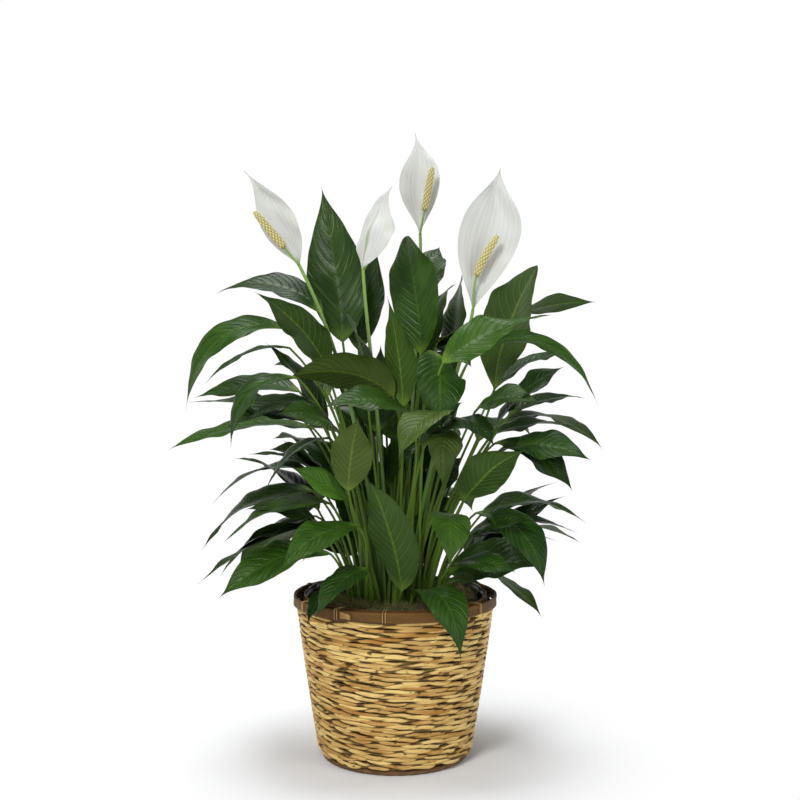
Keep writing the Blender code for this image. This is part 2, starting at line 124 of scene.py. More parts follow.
class Graph:
    """The nodes of one material."""

    def __init__(self, name: str) -> None:
        """Starts a material with its Principled shader.

        Args:
            name: the material's name.
        """
        self.material = bpy.data.materials.new(name)
        self.material.use_nodes = True
        self.tree = self.material.node_tree
        self.shader = self.tree.nodes["Principled BSDF"]

    def node(self, kind: str, settings: dict[str, Any] | None = None,
             inputs: dict[Any, Any] | None = None) -> Any:
        """Adds any node.

        Args:
            kind: the node's type.
            settings: attributes that are set first.
            inputs: values or links, by socket name or number.

        Returns:
            The new node.
        """
        made = self.tree.nodes.new(kind)
        for key, setting in (settings or {}).items():
            setattr(made, key, setting)
        for key, wanted in (inputs or {}).items():
            self.feed(made.inputs[key], wanted)
        return made

    def feed(self, socket: Any, wanted: Any) -> None:
        """Links or sets one input.

        Args:
            socket: the input socket.
            wanted: a Value, an output socket, a colour, or a number.
        """
        if isinstance(wanted, Value):
            wanted = wanted.socket
        if isinstance(wanted, bpy.types.NodeSocket):
            self.tree.links.new(wanted, socket)
        elif isinstance(wanted, tuple) and socket.type == "RGBA":
            socket.default_value = (*wanted[:3], 1.0)
        else:
            socket.default_value = wanted

    def value(self, kind: str, settings: dict[str, Any] | None = None,
              inputs: dict[Any, Any] | None = None, output: Any = 0) -> Value:
        """Adds a node and wraps one of its outputs, as node does.

        Args:
            kind: the node's type.
            settings: attributes that are set first.
            inputs: values or links, by socket name or number.
            output: the output's name or number.

        Returns:
            The output.
        """
        return Value(self, self.node(kind, settings, inputs).outputs[output])

    def mark(self, name: str) -> Value:
        """A number that the mesh carries at each of its points.

        Args:
            name: the attribute's name.

        Returns:
            The attribute's value.
        """
        return self.value("ShaderNodeAttribute", {"attribute_name": name}, output="Fac")

    def place(self, stretch: tuple[float, float, float] = (1, 1, 1)) -> Any:
        """Object coordinates, stretched along each axis.

        Args:
            stretch: the scale along x, y and z.

        Returns:
            The vector socket.
        """
        here = self.node("ShaderNodeTexCoord").outputs["Object"]
        return self.node("ShaderNodeMapping", None, {"Vector": here, "Scale": stretch}).outputs[0]

    def join(self, x: Any, y: Any, z: Any = 0.0) -> Any:
        """A vector of three numbers.

        Args:
            x: first number or value.
            y: second number or value.
            z: third number or value.

        Returns:
            The vector socket.
        """
        return self.node("ShaderNodeCombineXYZ", None, {0: x, 1: y, 2: z}).outputs[0]

    def noise(self, at: Any, scale: float, detail: float = 2.0, rough: float = 0.5) -> Value:
        """Fractal noise, about 0.5 on average.

        Args:
            at: the vector socket it is read at.
            scale: features per metre, or per unit of at.
            detail: octaves.
            rough: weight of the finer octaves.

        Returns:
            The noise value.
        """
        inputs = {"Vector": at, "Scale": scale, "Detail": detail, "Roughness": rough}
        return self.value("ShaderNodeTexNoise", None, inputs, "Fac")

    def mix(self, share: Any, first: Any, second: Any) -> Any:
        """Mixes two colours.

        Args:
            share: 0 gives the first, 1 the second.
            first: a colour or a colour socket.
            second: a colour or a colour socket.

        Returns:
            The colour socket.
        """
        node = self.node("ShaderNodeMix", {"data_type": "RGBA"}, {0: share, 6: first, 7: second})
        return node.outputs[2]

    def bump(self, height: Value, distance: float, strength: float = 1.0) -> None:
        """Feeds a height to the surface's normal.

        Args:
            height: the height, 0 to 1.
            distance: metres between height 0 and height 1.
            strength: how much of it shows.
        """
        inputs = {"Height": height, "Distance": distance, "Strength": strength}
        normal = self.node("ShaderNodeBump", None, inputs).outputs[0]
        self.feed(self.shader.inputs["Normal"], normal)

    def finish(self, colour: Any, roughness: Any, **constants: Any) -> bpy.types.Material:
        """Feeds the shader.

        Args:
            colour: base colour, a colour or a socket.
            roughness: roughness, a number or a value.
            constants: other sockets of the shader by name, with _ for spaces.

        Returns:
            The finished material.
        """
        self.feed(self.shader.inputs["Base Color"], colour)
        self.feed(self.shader.inputs["Roughness"], roughness)
        for key, wanted in constants.items():
            self.feed(self.shader.inputs[key.replace("_", " ")], wanted)
        return self.material


# -------------------------------------------------------------------- surfaces
@dataclass
class Surface:
    """Points and faces of a closed surface, with numbers carried at each point."""

    points: Array
    quads: Array
    tris: Array
    marks: dict[str, Array] = field(default_factory=dict)

    @classmethod
    def skin(cls, rings: Array, marks: dict[str, Array] | None = None, loop: bool = False) -> "Surface":
        """Skin over a grid of rings: each ring joins the next, and the two ends are closed.

        Args:
            rings: array (rings, points round, 3).
            marks: carried numbers, each spread to (rings, points round).
            loop: the last ring joins the first, so there are no ends.

        Returns:
            The closed surface, its faces turned outwards.
        """
        count, around = rings.shape[:2]
        start = np.arange(count if loop else count - 1)[:, None] * around
        a = np.arange(around)[None, :]
        b = (a + 1) % around
        total = count * around
        after = (start + around) % total if loop else start + around
        quads = np.stack([start + a, start + b, after + b, after + a], -1).reshape(-1, 4)
        points = rings.reshape(-1, 3)
        carried = {key: np.broadcast_to(m, (count, around)).ravel() for key, m in (marks or {}).items()}
        tris = np.zeros((0, 3), int)
        if not loop:
            ends = np.array([rings[0].mean(0), rings[-1].mean(0)])
            points = np.vstack([points, ends])
            low = np.stack([np.full(around, total), b[0], a[0]], -1)
            high = np.stack([np.full(around, total + 1), a[0], b[0]], -1)
            high[:, 1:] += total - around
            tris = np.vstack([low, high])
            carried = {key: np.append(m, [m[:around].mean(), m[-around:].mean()])
                       for key, m in carried.items()}
        return cls(points, quads, tris, carried).outward()

    def outward(self) -> "Surface":
        """Turns the faces so that the enclosed volume counts as positive."""
        corners = np.vstack([self.quads[:, :3], self.quads[:, [0, 2, 3]], self.tris])
        p = self.points - self.points.mean(0)
        volume = np.einsum("ij,ij->", p[corners[:, 0]], np.cross(p[corners[:, 1]], p[corners[:, 2]]))
        if volume < 0:
            self.quads, self.tris = self.quads[:, ::-1], self.tris[:, ::-1]
        return self

    @classmethod
    def together(cls, parts: list["Surface"]) -> "Surface":
        """One surface of several separate ones.

        Args:
            parts: surfaces with the same marks.

        Returns:
            All of them in one.
        """
        starts = np.cumsum([0] + [len(p.points) for p in parts[:-1]])
        return cls(
            np.vstack([p.points for p in parts]),
            np.vstack([p.quads + s for p, s in zip(parts, starts)]),
            np.vstack([p.tris + s for p, s in zip(parts, starts)]),
            {key: np.concatenate([p.marks[key] for p in parts]) for key in parts[0].marks},
        )

    @classmethod
    def copies(cls, rings: Array, marks: dict[str, Array] | None = None) -> "Surface":
        """Many small skins at once, each closed by its first ring's middle and its last ring's middle.

        Args:
            rings: array (copies, rings, points round, 3).
            marks: carried numbers, each spread to (copies, rings, points round).

        Returns:
            All the skins in one surface.
        """
        number, count, around = rings.shape[:3]
        one = cls.skin(rings[0])
        body = rings.reshape(number, -1, 3)
        points = np.concatenate([body, rings[:, [0, -1]].mean(2)], 1)
        size = count * around + 2
        shift = np.arange(number)[:, None, None] * size
        carried = {}
        for key, m in (marks or {}).items():
            m = np.broadcast_to(m, rings.shape[:3])
            ends = m[:, [0, -1]].mean(2)
            carried[key] = np.concatenate([m.reshape(number, -1), ends], 1).ravel()
        return cls(points.reshape(-1, 3), (one.quads[None] + shift).reshape(-1, 4),
                   (one.tris[None] + shift).reshape(-1, 3), carried)

    def piece(self, name: str, material: bpy.types.Material, slot: str, *nodes: str,
              sharp: float = 60.0) -> bpy.types.Object:
        """Makes the object, rides it on the frame and lets it stand for CAD nodes.

        Args:
            name: the piece's name.
            material: its material.
            slot: the name of the finish's slot; not used.
            nodes: the CAD nodes it stands for.
            sharp: edges that bend more than this many degrees are not smoothed.

        Returns:
            The object.
        """
        mesh = bpy.data.meshes.new(name)
        quads, tris = len(self.quads), len(self.tris)
        mesh.vertices.add(len(self.points))
        mesh.vertices.foreach_set("co", self.points.astype(np.float32).ravel())
        mesh.loops.add(quads * 4 + tris * 3)
        corners = np.concatenate([self.quads.ravel(), self.tris.ravel()])
        mesh.loops.foreach_set("vertex_index", corners.astype(np.int32))
        mesh.polygons.add(quads + tris)
        starts = np.concatenate([np.arange(quads) * 4, quads * 4 + np.arange(tris) * 3])
        mesh.polygons.foreach_set("loop_start", starts.astype(np.int32))
        mesh.update(calc_edges=True)
        for key, numbers in self.marks.items():
            layer = mesh.attributes.new(key, "FLOAT", "POINT")
            layer.data.foreach_set("value", numbers.astype(np.float32))
        mesh.materials.append(material)
        mesh.shade_smooth()
        mesh.set_sharp_from_angle(angle=math.radians(sharp))
        made = bpy.data.objects.new(name, mesh)
        bpy.context.scene.collection.objects.link(made)
        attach(made, "root")
        if nodes:
            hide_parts(*nodes)
        LOG.info("%s: %d triangles", name, 2 * quads + tris)
        return made


def unit(vectors: Array) -> Array:
    """Vectors scaled to length 1 along the last axis."""
    return vectors / np.linalg.norm(vectors, axis=-1, keepdims=True)


def polar(reach: Array, angle: Array | float, z: Array, aside: Array | float = 0.0) -> Array:
    """Points round the basket's axis; all the arrays are spread to one shape.

    Args:
        reach: distance from the axis in the direction `angle`.
        angle: direction round the axis.
        z: height.
        aside: step to the left of that direction.

    Returns:
        The points, with x, y and z along a last axis.
    """
    x = reach * np.cos(angle) - aside * np.sin(angle)
    y = reach * np.sin(angle) + aside * np.cos(angle)
    return np.stack([x, y, np.broadcast_to(z, x.shape)], -1)


def tube(line: Array, side: Array, normal: Array, across: Array, up: Array) -> Array:
    """Rings along a line, each point moved off it sideways and upwards.

    Args:
        line: array (rings, 3) of points.
        side: unit directions sideways, one a ring.
        normal: unit directions upwards, one a ring.
        across: array (rings, points round) of moves along side.
        up: array (rings, points round) of moves along normal.

    Returns:
        The rings, array (rings, points round, 3).
    """
    return line[:, None] + side[:, None] * across[..., None] + normal[:, None] * up[..., None]


def turns(count: int) -> Array:
    """Angles of `count` equal steps over one turn, from 0."""
    return np.linspace(0, TURN, count, endpoint=False)


def bezier(controls: list[Array], t: Array) -> Array:
    """Points of a cubic Bezier curve at t: the four controls weighted by the Bernstein terms."""
    t = t[:, None]
    s = 1 - t
    first, second, third, last = controls
    return s**3 * first + 3 * s * s * t * second + 3 * s * t * t * third + t**3 * last


def smooth(t: Array) -> Array:
    """Smooth step from 0 to 1 as t goes from 0 to 1: 3t^2 - 2t^3."""
    t = np.clip(t, 0, 1)
    return t * t * (3 - 2 * t)


def wander(t: Array, seed: float, waves: int = 3) -> Array:
    """A gentle aperiodic wave of t between about -1 and 1: a sum of sines of unrelated pitch.

    Args:
        t: where it is read; one unit is about one wave.
        seed: shifts the sines against one another.
        waves: how many sines are added.

    Returns:
        The wave.
    """
    sines = (np.sin(TURN * t * (0.61 + 0.73 * k) + seed * (2.3 + 1.7 * k)) / (1 + k) for k in range(waves))
    return sum(sines) / 1.5


# ---------------------------------------------------------------------- leaves
def vein_flow(along: Any, aside: Any) -> Any:
    """Count of side veins passed, at a point of a blade: SIDE_VEINS * (along - VEIN_SWEEP * aside^VEIN_BOW).

    Args:
        along: share of the blade's length, an array or a shader value.
        aside: share of its half width, likewise.

    Returns:
        The count, whole on each vein.
    """
    return along * SIDE_VEINS - aside ** VEIN_BOW * (SIDE_VEINS * VEIN_SWEEP)


class Age(Enum):
    """How a leaf looks: its age, or the painted sheen, pale stripes of painted highlight along the veins,
    that some leaves carry.
    """

    MATURE = "mature"
    MIDDLE = "middle"
    OLIVE = "olive"
    YOUNG = "young"
    STREAKED = "streaked"


@dataclass(frozen=True)
class LeafFinish:
    """Glossy leaf: quilted between side veins that sweep forward, pale midrib, matt underside, and on some
    leaves painted highlights: pale sheen stripes along the veins.
    """

    deep: Colour
    fresh: Colour
    vein: Colour
    under: Colour
    stalk: Colour
    gloss: float = 0.31
    sheen_streaks: float = 0.0
    # Colour of the painted highlight stripes.
    streak: Colour = (0.17, 0.215, 0.085)

    def material(self, name: str) -> bpy.types.Material:
        """Builds the material from the leaf's own marks: across, along, under, tone and stem.

        Args:
            name: the material's name.

        Returns:
            The material.
        """
        g = Graph(name)
        across, along, under = g.mark("across"), g.mark("along"), g.mark("under")
        tone, stem = g.mark("tone"), g.mark("stem")
        aside = abs(across)
        flow = vein_flow(along, aside)
        here = g.join(flow * 0.55, across * 1.6, tone * 9.0)
        blotch = g.noise(here, 0.9, 2.0)
        threads = g.noise(g.join(flow * 7.0, aside * 1.4, tone * 5.0), 1.0, 3.0, 0.6)
        line = abs((flow + 0.06 * (threads - 0.5)).fraction() - 0.5)
        vein = line.ramp(0.10, 0.0) * aside.ramp(1.0, 0.72)
        midrib = aside.ramp(0.075, 0.018)
        light = (blotch * 0.75 + threads * 0.6 + tone * 0.45 - 0.57).ramp(0.0, 0.72)
        colour = g.mix(light, self.deep, self.fresh)
        colour = g.mix(vein * 0.14, colour, self.vein)
        # Painted highlight: pale stripes along the veins that stand for the glossy blade's sheen.
        if self.sheen_streaks:
            sheen_patch = g.noise(g.join(flow * 3.2, aside * 0.9, tone * 7.0), 1.0, 2.0)
            share = sheen_patch.ramp(0.56, 0.70) * aside.ramp(0.95, 0.5) * self.sheen_streaks
            colour = g.mix(share, colour, self.streak)
        colour = g.mix(midrib * 0.38, colour, self.vein)
        colour = g.mix(under * 0.85, colour, g.mix(midrib * 0.5 + vein * 0.3, self.under, self.stalk))
        colour = g.mix(stem, colour, g.mix(threads, self.stalk, self.under))
        roughness = self.gloss + 0.16 * (threads - 0.5) + 0.05 * blotch + under * 0.16 + stem * 0.10
        height = line.ramp(0.0, 0.22) * 0.8 + threads * 0.35 + g.noise(g.place(), 900.0, 2.0) * 0.12
        g.bump(height * (1 - stem * 0.7), 0.0008, 0.8)
        return g.finish(colour, roughness, Specular_IOR_Level=0.17)


LEAF_FINISHES = {
    Age.MATURE: LeafFinish((0.0050, 0.020, 0.002), (0.027, 0.068, 0.007), (0.046, 0.096, 0.015),
                           (0.032, 0.068, 0.010), (0.150, 0.265, 0.030)),
    Age.MIDDLE: LeafFinish((0.009, 0.034, 0.003), (0.040, 0.100, 0.008), (0.066, 0.134, 0.018),
                           (0.044, 0.090, 0.012), (0.165, 0.290, 0.034)),
    Age.OLIVE: LeafFinish((0.017, 0.036, 0.004), (0.050, 0.088, 0.010), (0.072, 0.118, 0.020),
                          (0.054, 0.088, 0.015), (0.130, 0.215, 0.028), gloss=0.40),
    Age.YOUNG: LeafFinish((0.024, 0.078, 0.007), (0.068, 0.160, 0.016), (0.105, 0.210, 0.032),
                          (0.070, 0.155, 0.022), (0.112, 0.210, 0.025), gloss=0.36),
    Age.STREAKED: LeafFinish((0.0052, 0.021, 0.002), (0.028, 0.070, 0.007), (0.052, 0.102, 0.016),
                             (0.034, 0.072, 0.011), (0.120, 0.215, 0.024), sheen_streaks=0.50),
}


@dataclass
class Sweep:
    """Lines and directions that leaves, stems and spathes follow, in centimetres."""

    @staticmethod
    def blade(neck: Array, tip: Array, arch: float, t: Array) -> tuple[Array, Array]:
        """Midrib from neck to tip, bowed upwards by arch, most of it in the first half.

        Args:
            neck: where the blade starts.
            tip: where it ends.
            arch: rise above the chord.
            t: stations, 0 at the neck and 1 at the tip.

        Returns:
            The points, and the direction at the neck.
        """
        chord = tip - neck
        along = unit(chord)
        lift = UP - along * along[2]
        lift = lift / max(np.linalg.norm(lift), 0.3)
        rising = neck + chord * 0.28 + lift * arch * 1.5
        falling = neck + chord * 0.70 + lift * arch * 1.15
        return bezier([neck, rising, falling, tip], t), unit(rising - neck)

    @staticmethod
    def stalk(foot: Array, neck: Array, start: Array, t: Array) -> Array:
        """Stalk that leaves the crown steeply and bends into the blade's direction at the neck.

        Args:
            foot: where it leaves the crown.
            neck: where the blade starts.
            start: the blade's direction there.
            t: stations, 0 at the foot and 1 at the neck.

        Returns:
            The points.
        """
        rise = neck - foot
        length = np.linalg.norm(rise)
        leave = unit(np.array([rise[0] * 0.25, rise[1] * 0.25, length]))
        arrive = unit(0.5 * start + 0.5 * rise / length)
        return bezier([foot, foot + leave * length * 0.4, neck - arrive * length * 0.25, neck], t)

    @staticmethod
    def sides(line: Array, chord: Array, outward: Array, roll: float, twist: Array | float = 0.0
              ) -> tuple[Array, Array]:
        """Sideways and upward directions at each station.

        The sideways direction is level and across `outward`, rolled about the chord, and
        then turned about the line by `twist`.

        Args:
            line: the points followed.
            chord: from one end to the other.
            outward: the level direction away from the plant.
            roll: degrees about the chord.
            twist: more degrees at each station.

        Returns:
            The two unit directions at each station.
        """
        along = unit(chord)
        across = np.cross(outward, UP)
        across = unit(across - along * (across @ along))
        turn = math.radians(roll)
        across = across * math.cos(turn) + np.cross(across, along) * math.sin(turn)
        tangent = unit(np.gradient(line, axis=0))
        side = unit(across - tangent * (tangent @ across)[:, None])
        normal = np.cross(side, tangent)
        angle = np.radians(np.broadcast_to(twist, len(line)))[:, None]
        cosine, sine = np.cos(angle), np.sin(angle)
        return side * cosine + normal * sine, normal * cosine - side * sine


def outline(t: Array, peak: float = 0.45, blunt: float = 0.0) -> Array:
    """Share of the full width along a blade: a lance shape, tapered to the stalk and drawn out to the tip.

    The sine of pi times t^p, where p puts the sine's top at `peak`, raised to a power that grows
    towards the tip unless the blade is blunt.

    Args:
        t: stations, 0 at the neck and 1 at the tip.
        peak: where the blade is widest.
        blunt: 0 for a fine tip, 1 for a short one.

    Returns:
        The share at each station.
    """
    power = math.log(0.5) / math.log(peak)
    lobe = np.sin(np.pi * np.clip(t, 0, 1) ** power).clip(0)
    return lobe ** (0.92 - 0.22 * blunt + (0.75 - 0.75 * blunt) * t**2)


def margins(t: Array, share: Array, wide: Array, left: tuple[float, float],
            right: tuple[float, float]) -> Array:
    """Waves of a blade's two margins, which fade towards its middle with the cube of |share|.

    Args:
        t: stations along the blade.
        share: share across, -1 to 1, at each point round.
        wide: half width at each station, as a column.
        left: waves along the left margin, and their seed.
        right: the same for the right one.

    Returns:
        The height of the waves, array (stations, points round).
    """
    one, other = (wander(t[:, None] * pitch, seed) for pitch, seed in (left, right))
    return np.where(share < 0, one, other) * np.abs(share) ** 3 * np.sqrt(wide / 3.0 + 1e-6)


@dataclass
class Leaf:
    """One leaf: a round stalk that widens into a veined blade, as one closed skin.

    Attributes:
        foot: on the crown (x, y), in centimetres, as all lengths here are.
        neck: where the stalk becomes the blade.
        tip: the drawn-out point.
        arch: rise of the blade above its chord.
        width: width of the blade.
        roll: degrees about the chord.
        age: how it looks.
        fold: rise of the edges, as a share of half the width.
        twist: degrees that the blade turns towards its tip.
        wave: height of the waves in its margins.
        blunt: 0 draws the tip out finely, 1 keeps the blade broad up to a short tip.
        peak: where along the blade it is widest.
    """

    foot: tuple[float, float]
    neck: tuple[float, float, float]
    tip: tuple[float, float, float]
    arch: float
    width: float
    roll: float
    age: Age = Age.MATURE
    fold: float = 0.28
    twist: float = 0.0
    wave: float = 0.20
    blunt: float = 0.0
    peak: float = 0.42

    CROWN: ClassVar[float] = 16.9
    FOOT_RADIUS: ClassVar[float] = 0.25
    NECK_RADIUS: ClassVar[float] = 0.15
    BLADE_HALF_THICKNESS: ClassVar[float] = 0.022
    STALK_STATIONS: ClassVar[int] = 14
    BLADE_STATIONS: ClassVar[int] = 100
    AROUND: ClassVar[int] = 36

    def surface(self, seed: float) -> Surface:
        """Skin of flattened rings along the midrib.

        Each ring is an ellipse of half width w, read at the angle a, and x = -cos a is the share across.
        Its points are raised by fold * w * (sqrt(x^2 + 0.02) - 0.14 - 0.5 |x|^3), a rounded V whose
        margins droop, by waves that grow with |x|^3 and by the quilting between the side veins; a
        groove and a rib run along the middle.

        Args:
            seed: a number that makes this leaf's waves and colour its own.

        Returns:
            The leaf, in metres.
        """
        foot = np.array([*self.foot, self.CROWN])
        neck, tip = np.array(self.neck), np.array(self.tip)
        t = np.linspace(0, 1, self.BLADE_STATIONS) ** 0.96
        blade, start = Sweep.blade(neck, tip, self.arch, t)
        low = np.linspace(1, 0, self.STALK_STATIONS, endpoint=False)
        stalk = Sweep.stalk(foot, neck, start, 1 - low)
        line = np.vstack([stalk, blade])
        t = np.concatenate([np.zeros(self.STALK_STATIONS), t])
        low = np.concatenate([low, np.zeros(self.BLADE_STATIONS)])
        twist = (self.twist * smooth(t * 1.1) + 34 * np.sin(seed * 2.4) * smooth(t * 1.2 - 0.2)
                 + 16 * wander(t * 1.3, seed * 1.9) * t)
        outward = unit((tip - foot) * [1, 1, 0])
        side, normal = Sweep.sides(line, tip - neck, outward, self.roll, twist)
        spread = self.width / 2 * outline(t, self.peak, self.blunt)
        sway = (0.05 * self.width * wander(t * 0.9, seed) * t * (1 - t) * 2)[:, None]
        line = line + side * sway + normal * sway * 0.6
        radius = self.NECK_RADIUS + (self.FOOT_RADIUS - self.NECK_RADIUS) * low**1.5
        sheath = 0.10 * smooth(low * 2.2 - 0.9)
        half_width = np.sqrt((radius * (1 - 0.9 * t)) ** 2 + spread**2) + sheath
        into = smooth(t * 9)
        half_height = radius * 0.85 * (1 - into) + self.BLADE_HALF_THICKNESS * into * (1 - 0.6 * t)
        angle = turns(self.AROUND)
        share, top = -np.cos(angle), np.sin(angle)
        aside = np.abs(share)
        wide = spread[:, None]
        valley = self.fold * wide * (np.sqrt(aside**2 + 0.02) - 0.14 - 0.5 * aside**3)
        ripple = self.wave * margins(t, share, wide, (3.1, seed + 1.7), (3.4, seed + 4.1))
        bulge = np.abs(np.sin(np.pi * vein_flow(t[:, None], aside)))
        quilt = 0.022 * bulge * smooth((1 - aside) * 5) * smooth(aside * 6) * smooth(wide)
        rib = 0.05 * np.exp(-((share / 0.07) ** 2)) * (1 - t[:, None]) * into[:, None]
        raised = valley + ripple + quilt - rib * np.where(top > 0, 0.4, 1.6)
        rings = tube(line, side, normal, half_width[:, None] * share, half_height[:, None] * top + raised)
        return Surface.skin(rings * CM, {
            "across": share, "along": t[:, None], "under": (top < UNDER) * into[:, None],
            "stem": 1 - smooth(t[:, None] * 7), "tone": seed * GOLDEN % 1.0})


LEAVES: dict[str, Leaf] = {
    "leaf_01": Leaf((-1.1, 1.8), (-6.7, 5.5, 51.1), (-9.6, 9.0, 71.2), 0.8, 7.6, 50, Age.STREAKED),
    "leaf_02": Leaf((-2.3, 1.2), (-9.1, 2.6, 54.4), (-22.7, 5.0, 57.2), 2.6, 5.2, 30, twist=30),
    "leaf_03": Leaf((-1.8, 0.0), (-8.4, -1.6, 48.0), (-16.7, -5.0, 56.9), 1.0, 6.2, -38),
    "leaf_04": Leaf((-2.6, 0.8), (-13.1, 1.4, 52.5), (-25.9, 0.6, 42.5), 4.5, 5.6, 35, Age.MIDDLE),
    "leaf_05": Leaf((-2.7, -1.8), (-11.2, -8.5, 46.6), (-18.4, -13.5, 39.0), 3.0, 4.4, 15, Age.MIDDLE),
    "leaf_06": Leaf((-3.0, 2.0), (-12.3, 6.0, 44.7), (-26.4, 10.0, 43.8), 1.2, 5.4, 20),
    "leaf_07": Leaf((-3.3, -1.0), (-10.8, -4.6, 41.4), (-24.2, -7.4, 43.8), 1.0, 5.6, 25, Age.STREAKED),
    "leaf_08": Leaf((-3.6, 0.3), (-10.1, 1.0, 40.2), (-28.2, 1.0, 37.6), 1.6, 5.4, 12, Age.MIDDLE, wave=0.3),
    "leaf_09": Leaf((-3.5, 2.8), (-11.5, 8.0, 34.3), (-24.9, 15.0, 29.2), 2.2, 5.0, 10),
    "leaf_10": Leaf((-4.4, -0.6), (-9.9, -2.0, 32.7), (-23.2, -4.0, 25.9), 2.4, 6.0, 15),
    "leaf_11": Leaf((-3.0, -3.4), (-4.8, -7.0, 31.1), (-11.9, -11.0, 36.5), 0.6, 4.2, 40, Age.YOUNG),
    "leaf_12": Leaf((-4.1, -2.6), (-7.7, -6.0, 31.7), (-19.6, -11.0, 27.9), 1.8, 4.8, 15, Age.MIDDLE),
    "leaf_13": Leaf((-4.8, 1.0), (-9.2, 3.0, 27.8), (-22.5, 6.0, 21.0), 2.2, 6.2, 12),
    "leaf_14": Leaf((-5.3, -1.6), (-7.8, -4.0, 25.4), (-20.7, -8.0, 20.8), 1.8, 6.0, 15, Age.MIDDLE),
    "leaf_15": Leaf((-2.8, -4.6), (-3.4, -8.0, 24.3), (-9.0, -14.5, 19.6), 1.2, 4.6, 10, Age.MIDDLE),
    "leaf_16": Leaf((-0.2, -2.6), (1.9, -7.0, 42.3), (-8.1, -12.0, 43.3), 1.4, 5.4, 25),
    "leaf_17": Leaf((-0.9, -1.2), (-0.2, -3.4, 44.4), (-12.7, -7.0, 46.6), 1.9, 6.6, -45, Age.OLIVE,
                    blunt=0.3),
    "leaf_18": Leaf((-2.6, -0.9), (-8.5, -1.5, 41.0), (-15.4, -4.5, 50.8), 0.8, 6.0, 40, Age.STREAKED),
    "leaf_19": Leaf((0.4, -0.9), (1.0, -4.0, 43.2), (-0.9, -8.0, 56.2), 0.8, 4.6, 20, Age.MIDDLE),
    "leaf_20": Leaf((0.0, -4.3), (0.8, -7.5, 21.6), (-3.2, -10.5, 35.2), 0.8, 7.0, 12, Age.STREAKED),
    "leaf_21": Leaf((1.6, -2.6), (6.8, -8.0, 42.4), (0.4, -15.0, 37.6), 2.2, 5.2, -15, Age.OLIVE),
    "leaf_22": Leaf((-0.1, 1.2), (3.2, 3.4, 49.5), (1.3, 4.5, 64.4), 0.8, 7.4, 10, Age.MIDDLE,
                    blunt=1.2, peak=0.55),
    "leaf_23": Leaf((2.7, 0.7), (12.4, 2.0, 45.2), (17.8, 2.6, 60.6), 1.0, 8.6, 72, Age.MIDDLE,
                    fold=0.34, wave=0.34, blunt=0.9, peak=0.60),
    "leaf_24": Leaf((2.9, -3.0), (5.6, -8.0, 48.4), (18.2, -8.8, 54.0), 1.0, 6.6, -50, Age.MIDDLE, wave=0.3),
    "leaf_25": Leaf((2.7, -0.1), (9.3, -1.4, 49.2), (24.6, -2.5, 43.4), 4.6, 4.8, -15, Age.MIDDLE),
    "leaf_26": Leaf((3.0, -1.8), (12.0, -6.5, 40.8), (19.6, -9.0, 48.0), 1.0, 6.4, -25),
    "leaf_27": Leaf((3.4, 2.2), (13.7, 8.0, 40.5), (27.6, 12.0, 36.9), 2.4, 5.4, -12),
    "leaf_28": Leaf((3.8, -2.3), (12.4, -5.6, 38.0), (22.7, -9.5, 37.2), 1.2, 5.8, -15, Age.MIDDLE),
    "leaf_29": Leaf((3.0, -3.6), (8.1, -7.6, 32.3), (14.8, -12.0, 38.5), 0.8, 5.6, 40),
    "leaf_30": Leaf((4.4, 0.6), (10.6, 1.0, 29.4), (23.7, 1.0, 28.5), 2.2, 5.8, -15, Age.MIDDLE),
    "leaf_31": Leaf((4.4, -2.4), (9.6, -6.0, 30.6), (17.2, -11.0, 22.8), 2.6, 5.6, -10, Age.MIDDLE),
    "leaf_32": Leaf((4.9, -0.9), (6.6, -3.0, 23.0), (18.0, -8.0, 24.2), 1.2, 7.4, -40),
    "leaf_33": Leaf((1.8, -4.9), (2.2, -7.0, 21.0), (7.4, -14.6, 15.2), 3.6, 5.4, 0, Age.MIDDLE),
    "leaf_34": Leaf((-0.6, 3.2), (-3.5, 11.0, 38.0), (-8.0, 24.0, 42.0), 2.0, 6.2, 0),
    "leaf_35": Leaf((2.6, 3.4), (5.5, 10.0, 30.0), (11.0, 23.5, 27.0), 2.6, 6.4, 0),
}

